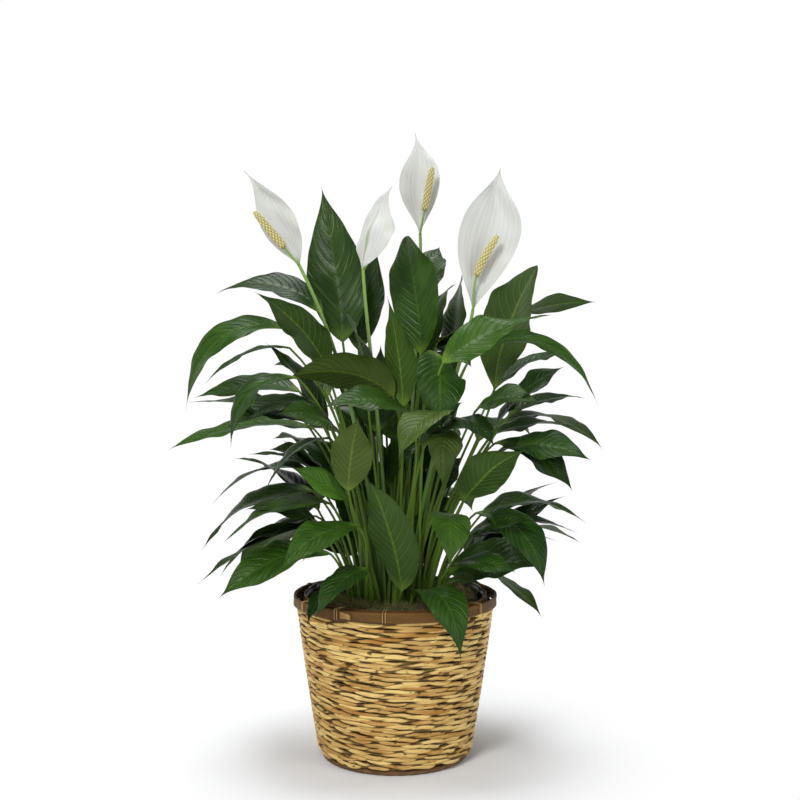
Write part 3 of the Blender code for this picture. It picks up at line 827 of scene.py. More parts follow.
# Leaves that the frame has no node for, because it holds sixty at most.
MORE_LEAVES: dict[str, Leaf] = {
    "leaf_36": Leaf((-0.8, 2.6), (-4.8, 9.0, 50.1), (-2.3, 11.5, 63.8), 0.6, 5.4, 30),
    "leaf_37": Leaf((1.5, 2.8), (7.4, 9.0, 50.1), (9.2, 13.0, 61.0), 0.8, 6.0, 20),
    "leaf_38": Leaf((-2.2, -0.4), (-12.7, -3.0, 50.2), (-22.4, -6.0, 46.0), 1.4, 3.0, 10),
    "leaf_39": Leaf((-3.8, -2.0), (-7.6, -7.6, 39.6), (-14.8, -13.0, 33.6), 1.6, 4.4, -10),
    "leaf_40": Leaf((-3.6, -3.6), (-4.2, -8.6, 29.3), (-12.8, -14.4, 25.1), 1.6, 4.6, 10, Age.MIDDLE),
    "leaf_41": Leaf((-4.6, 2.2), (-5.2, 7.0, 23.4), (-14.9, 14.0, 23.8), 2.0, 6.6, 30),
    "leaf_42": Leaf((-1.8, -3.0), (-5.4, -9.0, 33.6), (-4.1, -13.0, 42.4), 0.8, 5.0, 0, Age.OLIVE),
    "leaf_43": Leaf((2.2, -2.2), (6.2, -8.6, 40.6), (5.4, -13.6, 34.5), 2.2, 4.2, 0, Age.OLIVE),
    "leaf_44": Leaf((2.6, -1.6), (6.9, -5.4, 41.6), (11.3, -12.0, 39.0), 1.2, 4.2, 0),
    "leaf_45": Leaf((2.2, 1.8), (12.0, 7.4, 53.0), (26.4, 11.0, 56.4), 1.0, 4.8, -10, twist=50),
    "leaf_46": Leaf((3.2, 3.0), (13.0, 9.0, 45.0), (23.4, 15.0, 49.9), 1.2, 4.2, 0),
    "leaf_47": Leaf((3.4, 1.2), (14.4, 4.0, 41.8), (24.4, 7.0, 43.9), 1.0, 4.8, -10, Age.MIDDLE),
    "leaf_48": Leaf((3.6, -0.4), (11.8, -2.0, 39.6), (22.1, -3.0, 40.6), 1.0, 5.0, -15),
    "leaf_49": Leaf((4.6, -3.0), (6.4, -8.6, 24.5), (13.6, -13.8, 24.9), 1.0, 4.4, -10, Age.MIDDLE),
    "leaf_50": Leaf((3.6, -4.0), (6.4, -8.6, 30.7), (6.2, -14.6, 25.6), 2.0, 5.0, 0, Age.MIDDLE),
    "leaf_51": Leaf((3.4, -3.2), (5.4, -7.4, 22.0), (10.4, -9.4, 22.6), 0.8, 4.0, -10, Age.OLIVE),
    "leaf_52": Leaf((0.4, 4.0), (2.0, 13.0, 46.0), (5.0, 23.4, 52.0), 2.0, 6.4, 0),
    "leaf_53": Leaf((-2.0, 3.8), (-8.0, 12.0, 30.0), (-15.0, 21.0, 26.5), 2.2, 6.0, 0, Age.MIDDLE),
    "leaf_54": Leaf((3.2, 3.6), (11.0, 11.0, 38.0), (19.0, 19.0, 38.0), 2.2, 6.0, 0),
    "leaf_55": Leaf((0.2, 4.8), (0.5, 10.0, 24.0), (1.0, 22.0, 21.5), 2.4, 6.2, 0),
    "leaf_56": Leaf((4.6, 3.0), (9.0, 7.0, 24.0), (19.0, 14.0, 22.5), 2.2, 6.2, 0, Age.MIDDLE),
    "leaf_57": Leaf((-1.6, 3.4), (-9.0, 11.0, 44.0), (-17.0, 19.0, 48.0), 1.6, 5.8, 0),
    "leaf_58": Leaf((-4.2, 3.4), (-7.0, 8.0, 25.0), (-13.0, 19.0, 20.5), 2.0, 5.6, 0),
    "leaf_59": Leaf((0.8, 2.2), (3.0, 8.0, 56.0), (6.0, 15.0, 64.0), 1.2, 5.8, 0),
    "leaf_60": Leaf((-5.2, -3.0), (-7.6, -6.4, 21.6), (-10.0, -12.0, 18.6), 0.8, 2.4, 0),
    "leaf_61": Leaf((1.8, 4.0), (5.0, 12.0, 35.0), (8.0, 23.4, 38.0), 1.8, 5.6, 0, Age.MIDDLE),
    "leaf_62": Leaf((1.6, -1.8), (4.8, -5.0, 49.6), (5.4, -9.6, 40.6), 1.4, 6.4, 12, Age.MIDDLE, wave=0.3),
    "leaf_63": Leaf((-1.2, -1.0), (-3.6, -2.6, 47.4), (-6.4, -6.0, 55.0), 0.8, 5.4, 25),
    "leaf_64": Leaf((-3.0, -1.2), (-9.6, -4.0, 43.6), (-19.6, -9.6, 40.8), 1.4, 4.6, 20),
    "leaf_65": Leaf((3.6, -1.6), (11.8, -5.4, 38.8), (20.8, -8.0, 33.4), 1.8, 4.8, -20),
    "leaf_66": Leaf((-2.4, -2.4), (-6.6, -7.2, 40.2), (-13.4, -12.2, 42.6), 1.2, 4.6, 25),
    "leaf_67": Leaf((3.0, -2.6), (9.4, -6.6, 42.6), (16.4, -11.4, 44.0), 1.2, 5.0, -25, Age.MIDDLE),
    "leaf_68": Leaf((0.6, -3.0), (3.4, -8.2, 38.6), (8.4, -13.6, 41.0), 1.2, 5.2, -15),
    "leaf_69": Leaf((-4.6, -2.0), (-8.8, -5.0, 28.6), (-17.4, -9.0, 31.4), 1.4, 4.6, 15),
    "leaf_70": Leaf((4.0, -3.0), (8.4, -7.0, 27.4), (15.4, -11.6, 30.4), 1.2, 5.0, -20),
}


@dataclass
class Foliage:
    """All the leaves: the ones in the tables, and the ones that fill the crown's middle and back.

    Attributes:
        back: leaves that fill the hidden side.
        middle: short steep leaves that stand among the stalks.
        group: filling leaves that share one piece.
    """

    back: int = 30
    middle: int = 14
    group: int = 11

    def back_leaves(self) -> list[Leaf]:
        """Leaf k stands at azimuth 8 + 164 * frac(0.618 k) degrees.

        Its neck is 21 + 31 * frac(0.382 k + 0.2) cm up, and its reach is the radius, at that azimuth,
        of an ellipse that narrows towards the top.
        """
        leaves = []
        for k in range(self.back):
            at = math.radians(8 + 164 * (k * GOLDEN % 1))
            high = 21 + 31 * ((k * (1 - GOLDEN) + 0.2) % 1)
            shrink = 1 - 0.35 * (high - 21) / 31 - 0.12 * math.sin(k * 2.1)
            reach = shrink / math.hypot(math.cos(at) / 25.0, math.sin(at) / 22.5)
            turn = at + 0.22 * math.sin(k * 1.7)
            leaves.append(Leaf(
                (math.cos(at) * 4.4, math.sin(at) * 3.6 + 0.8),
                (math.cos(at) * reach * 0.42, math.sin(at) * reach * 0.42 + 1.0, high),
                (math.cos(turn) * reach, math.sin(turn) * reach,
                 high + 9.0 * math.sin(k * 2.9) + 0.10 * (high - 30)),
                1.6 + 0.8 * math.sin(k * 1.3), 5.8 + 1.2 * math.sin(k * 3.7), 14 * math.sin(k * 4.1),
                Age.MIDDLE if k % 3 == 1 else Age.MATURE))
        return leaves

    def middle_leaves(self) -> list[Leaf]:
        """Leaf k stands at azimuth 137.5 k degrees, its neck 22 to 42 cm up, and points steeply upwards."""
        leaves = []
        for k in range(self.middle):
            at = math.radians(137.5 * k + 20)
            high = 22 + 20 * (k + 0.5) / self.middle
            leaves.append(Leaf(
                (math.cos(at) * 2.2, math.sin(at) * 2.0 + 1.0),
                (math.cos(at) * 3.6, math.sin(at) * 3.0 + 3.4, high),
                (math.cos(at + 0.5) * 9.0, math.sin(at + 0.5) * 5.0 + 5.4,
                 high + 9 + 3 * math.sin(k * 2.3)),
                1.0, 6.4, 20 * math.sin(k * 1.9)))
        return leaves

    def build(self) -> None:
        """Builds each leaf of the tables as its own piece, and the filling leaves in groups."""
        finishes = {age: finish.material(f"leaf_{age.value}") for age, finish in LEAF_FINISHES.items()}
        for index, (name, leaf) in enumerate({**LEAVES, **MORE_LEAVES}.items()):
            slot = "leaf_young" if leaf.age is Age.YOUNG else "leaf"
            nodes = [name] if name in LEAVES else []
            leaf.surface(1.0 + index).piece(f"lily_{name}", finishes[leaf.age], slot, *nodes, sharp=150)
        filling = [leaf.surface(80.0 + k) for k, leaf in enumerate(self.back_leaves() + self.middle_leaves())]
        for first in range(0, len(filling), self.group):
            some = Surface.together(filling[first:first + self.group])
            name = f"lily_leaves_inner_{first // self.group + 1}"
            some.piece(name, finishes[Age.MATURE], "leaf", sharp=150)


# --------------------------------------------------------------------- flowers
@dataclass(frozen=True)
class SpatheFinish:
    """White spathe: faint lengthwise veins, darkened also as painted shade between the ribs, green at the
    claw, on the midrib's back and on the tail.
    """

    white: Colour = (0.53, 0.54, 0.515)
    shade: Colour = (0.36, 0.38, 0.33)
    green: Colour = (0.17, 0.28, 0.06)

    def material(self) -> bpy.types.Material:
        """Builds the material from the marks across, along and under."""
        g = Graph("spathe")
        across, along, under = g.mark("across"), g.mark("along"), g.mark("under")
        aside = abs(across)
        grain = g.noise(g.join(across * 15.0, along * 1.3), 1.0, 3.0, 0.6)
        veins = abs((across * 6.0 + 0.25 * grain).fraction() - 0.5).ramp(0.10, 0.0)
        # Veins and grain turn towards shade: partly the veins' own colour, partly painted shade between the
        # ribs.
        colour = g.mix((grain * 0.5 + veins * 0.45).ramp(0.25, 0.9) * 0.65, self.white, self.shade)
        tail = along.ramp(0.93, 0.99) * 0.7
        claw = along.ramp(0.10, 0.0) * 0.8
        back = under * aside.ramp(0.11, 0.02) * along.ramp(0.95, 0.2) * 0.75
        colour = g.mix(back, colour, self.green)
        colour = g.mix(claw, colour, self.green)
        colour = g.mix(tail, colour, self.green)
        return g.finish(colour, 0.46 + 0.1 * grain, Specular_IOR_Level=0.3)


@dataclass(frozen=True)
class SpadixFinish:
    """Cream spadix of packed small flowers: pale knobs, and between them a greenish yellow that is darkened
    as painted shade in the hollows.
    """

    knob: Colour = (0.66, 0.61, 0.33)
    gap_tint_and_shade: Colour = (0.33, 0.28, 0.08)
    stipe: Colour = (0.20, 0.32, 0.07)

    def material(self) -> bpy.types.Material:
        """Builds the material from the marks knob and body."""
        g = Graph("spadix")
        knob, body = g.mark("knob"), g.mark("body")
        speck = g.noise(g.place(), 1400.0, 2.0)
        # Between the knobs: their own greenish yellow, darkened as painted shade in the hollows.
        colour = g.mix((knob * 0.8 + speck * 0.4).ramp(0.25, 0.85), self.gap_tint_and_shade, self.knob)
        colour = g.mix(1 - body, colour, self.stipe)
        g.bump(speck, 0.0003, 0.6)
        return g.finish(colour, 0.62 + 0.2 * speck)


@dataclass(frozen=True)
class StemFinish:
    """Smooth lime green flower stem with faint lengthwise grain."""

    light: Colour = (0.18, 0.31, 0.055)
    dark: Colour = (0.08, 0.18, 0.03)

    def material(self) -> bpy.types.Material:
        """Builds the material from the marks across and along."""
        g = Graph("flower_stem")
        across, along = g.mark("across"), g.mark("along")
        grain = g.noise(g.join(across * 9.0, along * 3.0), 1.0, 3.0)
        colour = g.mix((along * 0.7 + grain * 0.6 - 0.15).ramp(0.1, 0.9), self.dark, self.light)
        g.bump(grain, 0.0003, 0.6)
        return g.finish(colour, 0.36 + 0.15 * grain, Coat_Weight=0.1)


@dataclass
class Flower:
    """One flower: its stem, the spathe that opens behind the spadix, and the spadix on its stipe.

    Attributes:
        foot: on the crown (x, y), in centimetres, as all lengths here are.
        way: a point on the way up.
        base: where the spathe starts.
        tip: end of the spathe's tail.
        arch: bow of the spathe's midrib.
        width: width of the spathe.
        roll: degrees; 180 opens it to the front.
        spadix_tip: top of the spadix.
        stipe: share of the spadix that is its bare stipe.
        middle: where along the spathe it is widest.
        full: power that draws its ends in; less is rounder.
        cup: rise of the spathe's edges, as a share of half its width.
        thick: radius of the spadix.
        twist: degrees that the spathe turns towards its tail.
        bow: how far the spadix bows sideways, to the right if positive.
    """

    foot: tuple[float, float]
    way: tuple[float, float, float]
    base: tuple[float, float, float]
    tip: tuple[float, float, float]
    arch: float
    width: float
    roll: float
    spadix_tip: tuple[float, float, float]
    stipe: float = 0.17
    middle: float = 0.5
    full: float = 1.3
    cup: float = 0.46
    thick: float = 0.5
    twist: float = 0.0
    bow: float = 0.0

    def spathe(self, seed: float) -> Surface:
        """Cupped sheet: flattened rings along a bowed midrib, ribbed, its edges raised and gently waved.

        Args:
            seed: makes its waves its own.

        Returns:
            The spathe, in metres.
        """
        base, tip = np.array(self.base), np.array(self.tip)
        t = np.linspace(0, 1, 110)
        line, _ = Sweep.blade(base, tip, self.arch, t)
        side, normal = Sweep.sides(line, tip - base, FRONT, self.roll, self.twist * smooth(t * 1.6 - 0.6))
        line = line - normal[1] * 0.13
        bend = (0.30 * np.sin(TURN * (t * 1.15 + 0.1 * seed)) * smooth(t * 1.5 - 0.3))[:, None]
        line = line + side * bend + normal * bend * 0.8
        power = math.log(0.5) / math.log(self.middle)
        drawn = self.full - 0.25 * t + 0.8 * smooth((t - 0.45) / 0.4)
        spread = self.width / 2 * np.sin(np.pi * t**power).clip(0) ** drawn
        half_width = np.sqrt((0.15 * (1 - 0.8 * t)) ** 2 + spread**2)
        angle = turns(72)
        share, top = -np.cos(angle), np.sin(angle)
        aside, wide = np.abs(share), spread[:, None]
        cup = self.cup * wide * (np.sqrt(aside**2 + 0.03) - 0.17)
        ripple = 0.30 * margins(t, share, wide, (2.2, seed), (2.6, seed + 2.0))
        ribs = 0.050 * np.sin(share * 4 * TURN + 2 * np.sin(t[:, None] * 4)) * smooth(wide) * (1 - aside**2)
        ribs = ribs + 0.22 * wander(t[:, None] * 1.7 + 0.4 * share, seed + 5.0) * smooth(wide - 0.3)
        half_height = (0.055 * (1 - smooth(t * 8)) + 0.034)[:, None]
        raised = half_height * top + cup + ripple + ribs
        rings = tube(line, side, normal, half_width[:, None] * share, raised)
        return Surface.skin(rings * CM, {"across": share, "along": t[:, None], "under": top < UNDER})

    def stem(self) -> Surface:
        """Round stem in one sweep from the crown through `way` to just under the spathe."""
        foot, way, base = np.array([*self.foot, Leaf.CROWN]), np.array(self.way), np.array(self.base)
        top = base - unit(base - way) * 0.02
        t = np.linspace(0, 1, 60)
        rising, passing = foot + (way - foot) * [0.35, 0.35, 0.75], way + (way - foot) * 0.12
        line = bezier([foot, rising, passing, top], t)
        side, normal = Sweep.sides(line, top - foot, FRONT, 0)
        radius = (0.27 - 0.07 * t)[:, None]
        angle = turns(16)
        rings = tube(line, side, normal, radius * np.cos(angle), radius * np.sin(angle))
        return Surface.skin(rings * CM, {"across": np.cos(angle), "along": t[:, None]})

    def spadix(self) -> Surface:
        """Thin stipe that swells into a blunt rod covered with knobs.

        The knobs stand where two families of spirals, six one way and seven the other, cross.
        """
        base, way, tip = np.array(self.base), np.array(self.way), np.array(self.tip)
        chord, _ = Sweep.blade(base, tip, self.arch, np.linspace(0, 1, 10))
        _, facing = Sweep.sides(chord, tip - base, FRONT, self.roll)
        foot = base + facing[1] * 0.13 - unit(base - way) * 0.1
        reach = np.array(self.spadix_tip) - foot
        rod = 1 - np.linspace(1, 0, 130) ** 1.25
        stipe = np.linspace(0, self.stipe, 12, endpoint=False)
        t = np.concatenate([stipe, self.stipe + (1 - self.stipe) * rod])
        line = foot + reach * t[:, None]
        line[:, 0] += self.bow * np.sin(np.pi * t)
        side, normal = Sweep.sides(line, reach, FRONT, 0)
        angle = turns(72)
        body = np.clip((t - self.stipe) / (1 - self.stipe), 0, 1)[:, None]
        radius = 0.13 + (self.thick * 0.80 - 0.13) * smooth(body * 9) * np.sqrt(np.clip(1 - body**5, 0, 1))
        length = np.linalg.norm(reach) * t[:, None]
        climb = 5 * length / self.thick
        crossing = np.cos(6 * angle + climb) + np.cos(7 * angle - climb)
        knob = np.clip(0.5 + 0.25 * crossing, 0, 1) ** 1.8 * smooth(body * 9)
        radius = radius + 0.13 * knob * np.sqrt(np.clip(1 - body**8, 0, 1))
        radius = radius * np.where(t[:, None] >= 1, 0.02, 1)
        rings = tube(line, side, normal, radius * np.cos(angle), radius * np.sin(angle))
        return Surface.skin(rings * CM, {"knob": knob, "body": smooth(body * 30)})


FLOWERS: dict[str, Flower] = {
    "flower_left": Flower((-1.3, -0.2), (-7.9, -0.4, 50.5), (-11.7, -2.0, 60.4), (-18.2, -3.5, 71.4),
                          0.7, 4.4, 190, (-16.7, -4.9, 66.4), stipe=0.30, middle=0.42, full=1.3, twist=12),
    "flower_back": Flower((-0.5, 0.5), (-3.2, -1.0, 48.0), (-3.9, -1.4, 59.8), (-0.3, -1.0, 69.9),
                          0.6, 5.4, 45, (-1.0, 0.4, 65.4), middle=0.45, full=1.15, twist=-30),
    "flower_top": Flower((1.1, 1.9), (3.3, 7.6, 55.0), (3.2, 7.8, 65.1), (2.8, 8.4, 78.2),
                         0.4, 5.2, 180, (4.7, 5.0, 73.2), stipe=0.33, middle=0.5, full=1.45),
    "flower_right": Flower((1.3, -0.6), (7.6, -3.6, 45.0), (9.3, -4.6, 54.8), (12.9, -4.2, 71.6),
                           0.2, 7.2, 180, (12.1, -6.4, 63.4), stipe=0.44, middle=0.54, full=1.1, bow=-0.9),
}


class Blooms:
    """The four flowers."""

    def build(self) -> None:
        """Builds stem, spathe and spadix of each flower as separate pieces."""
        stem, spathe, spadix = StemFinish().material(), SpatheFinish().material(), SpadixFinish().material()
        for index, (name, flower) in enumerate(FLOWERS.items()):
            parts = (("stem", flower.stem(), stem, "flower_stem", 60),
                     ("spathe", flower.spathe(3.0 + index), spathe, "spathe", 150),
                     ("spadix", flower.spadix(), spadix, "spadix", 170))
            for part, surface, material, slot, sharp in parts:
                surface.piece(f"lily_{name}_{part}", material, slot, f"{name}_{part}", sharp=sharp)


# ---------------------------------------------------------------------- basket
@dataclass(frozen=True)
class WickerFinish:
    """Willow strands: straw to honey, lengthwise grain, brown nodes; painted shade where a strand dives under
    and along each strand's upper and lower edges.
    """

    straw: Colour = (0.80, 0.58, 0.21)
    honey: Colour = (0.38, 0.185, 0.036)
    # dark: the grain's and the nodes' own dark brown, and also the colour of painted shade.
    dark: Colour = (0.045, 0.020, 0.008)

    def material(self, name: str = "wicker") -> bpy.types.Material:
        """Builds the material from the marks run (metres along), round, tuck_shade (painted shade where a
        strand dives) and strand.

        Args:
            name: the material's name.

        Returns:
            The material.
        """
        g = Graph(name)
        run, around, tuck_shade, strand = g.mark("run"), g.mark("round"), g.mark("tuck_shade"), g.mark("strand")
        grain = g.noise(g.join(run * 60.0, around * 9.0, strand * 31.0), 1.0, 3.0, 0.6)
        shade = g.noise(g.join(run * 24.0, around * 0.6, strand * 17.0), 1.0, 2.0)
        node = g.noise(g.join(run * 75.0, around * 0.9, strand * 53.0), 1.0, 2.0).ramp(0.62, 0.70)
        # Painted shade along each strand's upper and lower edges, between the rows.
        edge_shade = (abs(around) + 0.30 * (grain - 0.5)).ramp(0.30, 0.49)
        warm = (shade * 1.3 + strand * 0.55 + grain * 1.1 - 1.05).ramp(0.0, 0.9)
        colour = g.mix(warm, self.straw, self.honey)
        colour = g.mix(grain.ramp(0.56, 0.70) * 0.8, colour, self.honey)
        colour = g.mix(grain.ramp(0.64, 0.76) * 0.6, colour, self.dark)
        colour = g.mix(edge_shade * 0.85, colour, self.dark)
        colour = g.mix(node * 0.85, colour, self.dark)
        # Painted shade: darker where a strand dives behind a stake, and on the inner turns, stakes, base,
        # foot ring and lapped band end.
        colour = g.mix(tuck_shade.ramp(0.35, 1.0) * 0.75, colour, self.dark)
        g.bump(grain - node * 0.5, 0.0007, 0.9)
        return g.finish(colour, 0.34 + 0.3 * grain, Specular_IOR_Level=0.16)


@dataclass(frozen=True)
class BandFinish:
    """Split bamboo band: brown, long fine grain, paler and darker stretches."""

    light: Colour = (0.21, 0.105, 0.026)
    dark: Colour = (0.030, 0.013, 0.004)

    def material(self, name: str) -> bpy.types.Material:
        """Builds the material from the marks run and round.

        Args:
            name: the material's name.

        Returns:
            The material.
        """
        g = Graph(name)
        run, around = g.mark("run"), g.mark("round")
        grain = g.noise(g.join(run * 14.0, around * 26.0), 1.0, 4.0, 0.65)
        broad = g.noise(g.join(run * 9.0, around * 0.8), 1.0, 2.0)
        colour = g.mix((grain * 0.7 + broad * 0.7 - 0.25).ramp(0.05, 0.85), self.dark, self.light)
        g.bump(grain, 0.0006, 0.8)
        return g.finish(colour, 0.40 + 0.25 * grain, Specular_IOR_Level=0.14)


@dataclass
class Basket:
    """Round tapered basket: woven wall, stakes, base, foot ring, rim bands and their ties.

    Sizes are in metres and match the frame.

    Attributes:
        height: from the floor to the rim.
        foot_radius: outer radius of the foot ring.
        wall_foot: outer radius of the wall at the floor.
        wall_top: its outer radius under the rim.
        rim_depth: height of the rim bands.
        stakes: upright stakes inside the wall.
        rows: rows of strands.
        passes: times that each row comes to the front in one turn.
    """

    height: float = 0.200
    foot_radius: float = 0.088
    wall_foot: float = 0.0925
    wall_top: float = 0.1205
    rim_depth: float = 0.0125
    stakes: int = 36
    rows: int = 52
    passes: int = 13

    BELLY: ClassVar[float] = 0.0008
    STRAND_SWING: ClassVar[float] = 0.0011
    STRAND_HALF_OUT: ClassVar[float] = 0.0014
    INNER_HALF_OUT: ClassVar[float] = 0.0011
    INNER_DEPTH: ClassVar[float] = 0.0030
    STAKE_DEPTH: ClassVar[float] = 0.0052
    OUTER_BAND: ClassVar[float] = 0.0034
    INNER_BAND: ClassVar[float] = 0.0025
    TIE_WIDTH: ClassVar[float] = 0.0013
    TIE_HALF: ClassVar[float] = 0.0006
    BASE_RINGS: ClassVar[int] = 12
    BAND_SEAM: ClassVar[float] = 92.7

    def wall(self, z: Array) -> Array:
        """Outer radius of the woven wall at height z: a straight taper with a slight belly."""
        share = z / (self.height - self.rim_depth)
        taper = self.wall_foot + (self.wall_top - self.wall_foot) * share
        return taper + self.BELLY * np.sin(np.pi * np.clip(share, 0, 1))

    def hoop(self, angle: Array, radius: Array | float, z: Array | float, half_out: Array | float,
             half_up: Array | float, around: int, tuck_shade: Array | float, strand: Array | float) -> Surface:
        """A closed hoop of oval section.

        The section at each angle is an ellipse, half_out by half_up, centred at (radius, z).  All but
        the angles and the points round are one number, or one for each angle.

        Args:
            angle: the angles, over one turn.
            radius: centre radius.
            z: centre height.
            half_out: half thickness outwards.
            half_up: half height.
            around: points round the section.
            tuck_shade: how deep the strand dives, as a mark for painted shade.
            strand: which strand it is, as a mark.

        Returns:
            The hoop.
        """
        run = np.mean(radius) * angle[:, None]
        radius, z, half_out, half_up, tuck_shade, strand = (
            np.reshape(term, (-1, 1)) for term in (radius, z, half_out, half_up, tuck_shade, strand))
        turn = turns(around)
        rings = polar(radius + half_out * np.cos(turn), angle[:, None], z + half_up * np.sin(turn))
        marks = {"run": run, "round": 0.5 * np.sin(turn), "tuck_shade": tuck_shade, "strand": strand}
        return Surface.skin(rings, marks, loop=True)

    def weave(self, inside: bool = False) -> Surface:
        """Rows of strands that show outside for a long stretch and then dive behind a stake.

        Row k runs at angle a with the phase 13 a + pi k, a shift of its own and two slow waves.  It
        lies outside for most of each cycle and dives in for the rest.  Its height wanders and leans a
        little.  Its section is full where it passes in front and thin where it dives, so that each
        length is a long lens that closes over the dives of the rows above and below.

        Args:
            inside: gives the strands' inner turns, behind the outer ones, darkened with painted shade.

        Returns:
            The strands.
        """
        parts = []
        bottom, top = 0.0085, self.height - self.rim_depth + 0.003
        pitch = (top - bottom) / self.rows
        steps = turns(self.stakes * (4 if inside else 6))
        for row in range(self.rows):
            seed = row * 1.37
            chance = math.sin(row * 78.233) * 437.585 % 1
            angle = steps + row * 2.4
            slow = 0.55 * np.sin(angle * 3 + seed * 0.4) + 0.60 * np.sin(angle * 7 + seed * 2.1)
            phase = self.passes * angle + math.pi * row + 1.8 * (chance - 0.5) + slow
            wave = np.sin(phase)
            front = 2 * smooth((wave + 1.0) / 0.9) - 1
            lean = np.sin(phase + 1.3 + 1.2 * np.sin(angle * 5 + seed * 1.9))
            z = bottom + pitch * (row + 0.5) + 0.0006 * np.sin(angle * 4 + seed * 3.3) + 0.0008 * lean
            fat = 1 + 0.12 * np.sin(angle * 11 + seed * 2.7) + 0.12 * np.sin(angle * 5 + seed)
            each = (np.sin(np.floor(phase / TURN + 0.25) * 12.9898 + row * 78.233) * 437.585) % 1
            # Painted shade through the mark: 0.60 on the inner turns, and on the outer strands it grows where
            # they dive.
            if inside:
                parts.append(self.hoop(angle, self.wall(z) - self.INNER_DEPTH, z, self.INNER_HALF_OUT,
                                       pitch * 0.56, 6, 0.60, each))
                continue
            radius = self.wall(z) - self.STRAND_SWING * (1 - front)
            half_out = self.STRAND_HALF_OUT + 0.0003 * front
            half_up = pitch * (0.38 + 0.36 * smooth((wave + 1) / 1.7)) * fat
            parts.append(self.hoop(angle, radius, z, half_out, half_up, 8, 0.5 - 0.5 * front, each))
        return Surface.together(parts)

    def rods(self) -> Surface:
        """Upright stakes inside the wall: round rods that follow its taper."""
        z = np.linspace(0.011, self.height - 0.003, 14)[:, None]
        turn, at = turns(8), turns(self.stakes)[:, None, None]
        reach = self.wall(z) - self.STAKE_DEPTH + 0.0011 * np.cos(turn)
        rings = polar(reach, at, z, 0.0018 * np.sin(turn))
        # The stakes carry painted shade, as if in shade behind the weave.
        return Surface.copies(rings, {"run": z + at, "round": 0.5 * np.sin(turn), "tuck_shade": 0.55,
                                      "strand": at / TURN})

    @staticmethod
    def squared(turn: Array, power: float) -> tuple[Array, Array]:
        """Cosine and sine raised to a power with their signs kept: a circle squared off below power 1.

        Args:
            turn: angles round the section.
            power: 1 is a circle, and towards 0 it nears a square.

        Returns:
            The outward and the upward share.
        """
        out, up = np.cos(turn), np.sin(turn)
        return np.sign(out) * np.abs(out) ** power, np.sign(up) * np.abs(up) ** power

    def band(self, inner: float, thick: float) -> Surface:
        """Flat hoop at the rim, with rounded edges, a slightly uneven face and a split along it.

        Args:
            inner: inner radius.
            thick: its thickness.

        Returns:
            The band.
        """
        angle = turns(360)[:, None] + math.radians(self.BAND_SEAM)
        turn = turns(28)
        out, up = self.squared(turn, 0.45)
        uneven = 0.00025 * np.sin(angle * 9 + up * 2) + 0.0002 * np.sin(angle * 23)
        split = -0.0005 * np.exp(-(((up - 0.05 * np.sin(angle * 2)) / 0.10) ** 2)) * (out > 0)
        reach = inner + thick * (0.5 + 0.5 * out) + (uneven + split) * (0.5 + 0.5 * out)
        half = self.rim_depth / 2
        level = self.height - half + half * up + 0.0004 * np.sin(angle * 6) * (1 - np.abs(up))
        rings = polar(reach, angle, level)
        return Surface.skin(rings, {"run": angle * inner, "round": up * 0.5}, loop=True)

    def tie(self, degrees: float, inner: float, outer: float) -> Surface:
        """A cane strip bent over the rim: its section carried along a path up, over and down.

        Args:
            degrees: place round the rim; the front is -90.
            inner: radius of the inner face that it lies on.
            outer: radius of the outer face that it lies on.

        Returns:
            The strip.
        """
        t = np.linspace(0, 1, 40)
        half, corner = self.TIE_HALF, 0.0010
        outer, inner, top = outer + half, inner - half, self.height + half
        drop = self.rim_depth - 0.0005
        knots = np.array([[outer, top - drop], [outer, top - corner], [outer - corner, top],
                          [inner + corner, top], [inner, top - corner], [inner, top - 0.0055]])
        steps = np.concatenate([[0], np.cumsum(np.linalg.norm(np.diff(knots, axis=0), axis=1))])
        path = np.stack([np.interp(t * steps[-1], steps, knots[:, k]) for k in (0, 1)], -1)
        tangent = unit(np.gradient(path, axis=0))
        away = np.stack([tangent[:, 1], -tangent[:, 0]], -1)
        turn = turns(10)
        flat = path[:, None] + half * np.sin(turn)[:, None] * away[:, None]
        aside = self.TIE_WIDTH / 2 * np.cos(turn) * (1 + 0.06 * np.sin(t * 11)[:, None])
        rings = polar(flat[..., 0], math.radians(degrees), flat[..., 1], aside)
        return Surface.skin(rings, {"run": t[:, None] * 0.03, "round": 0.4 * np.cos(turn),
                                    "tuck_shade": 0.1, "strand": degrees * 0.013 % 1})

    def lap(self, face: float, start: float, end: float) -> Surface:
        """The outer band's end, lapped over its own start: a short strip that stands proud at its end.

        Args:
            face: radius of the band's outer face.
            start: degrees round the rim where the strip lies flat.
            end: degrees where it ends.

        Returns:
            The strip.
        """
        t = np.linspace(0, 1, 30)[:, None]
        turn = turns(20)
        out, up = self.squared(turn, 0.6)
        angle = np.radians(start + (end - start) * t)
        reach = face + 0.0001 + 0.0008 * t**2 + 0.0006 * out
        middle = self.height - self.rim_depth * 0.46 - 0.0006 * t
        rings = polar(reach, angle, middle + (0.0036 + 0.0004 * np.sin(9 * t)) * up)
        # Painted shade grows towards the strip's end, where it stands proud.
        return Surface.skin(rings, {"run": t * 0.014, "round": 0.3 * up, "strand": 0.95,
                                    "tuck_shade": 0.25 + 0.75 * smooth((t - 0.8) / 0.2)})

    def base(self) -> Surface:
        """Rings of strands laid side by side on the flat base."""
        angle = turns(96)
        pitch = (self.foot_radius - 0.0098) / self.BASE_RINGS
        parts = []
        for ring in range(self.BASE_RINGS):
            wave = np.sin(12 * angle + ring * math.pi)
            # Painted shade that follows each strand's wave.
            parts.append(self.hoop(angle, pitch * (ring + 0.5), 0.0046 + 0.0006 * wave, pitch * 0.53,
                                   0.0040, 10, 0.5 + 0.3 * wave, ring * 0.29 % 1))
        return Surface.together(parts)

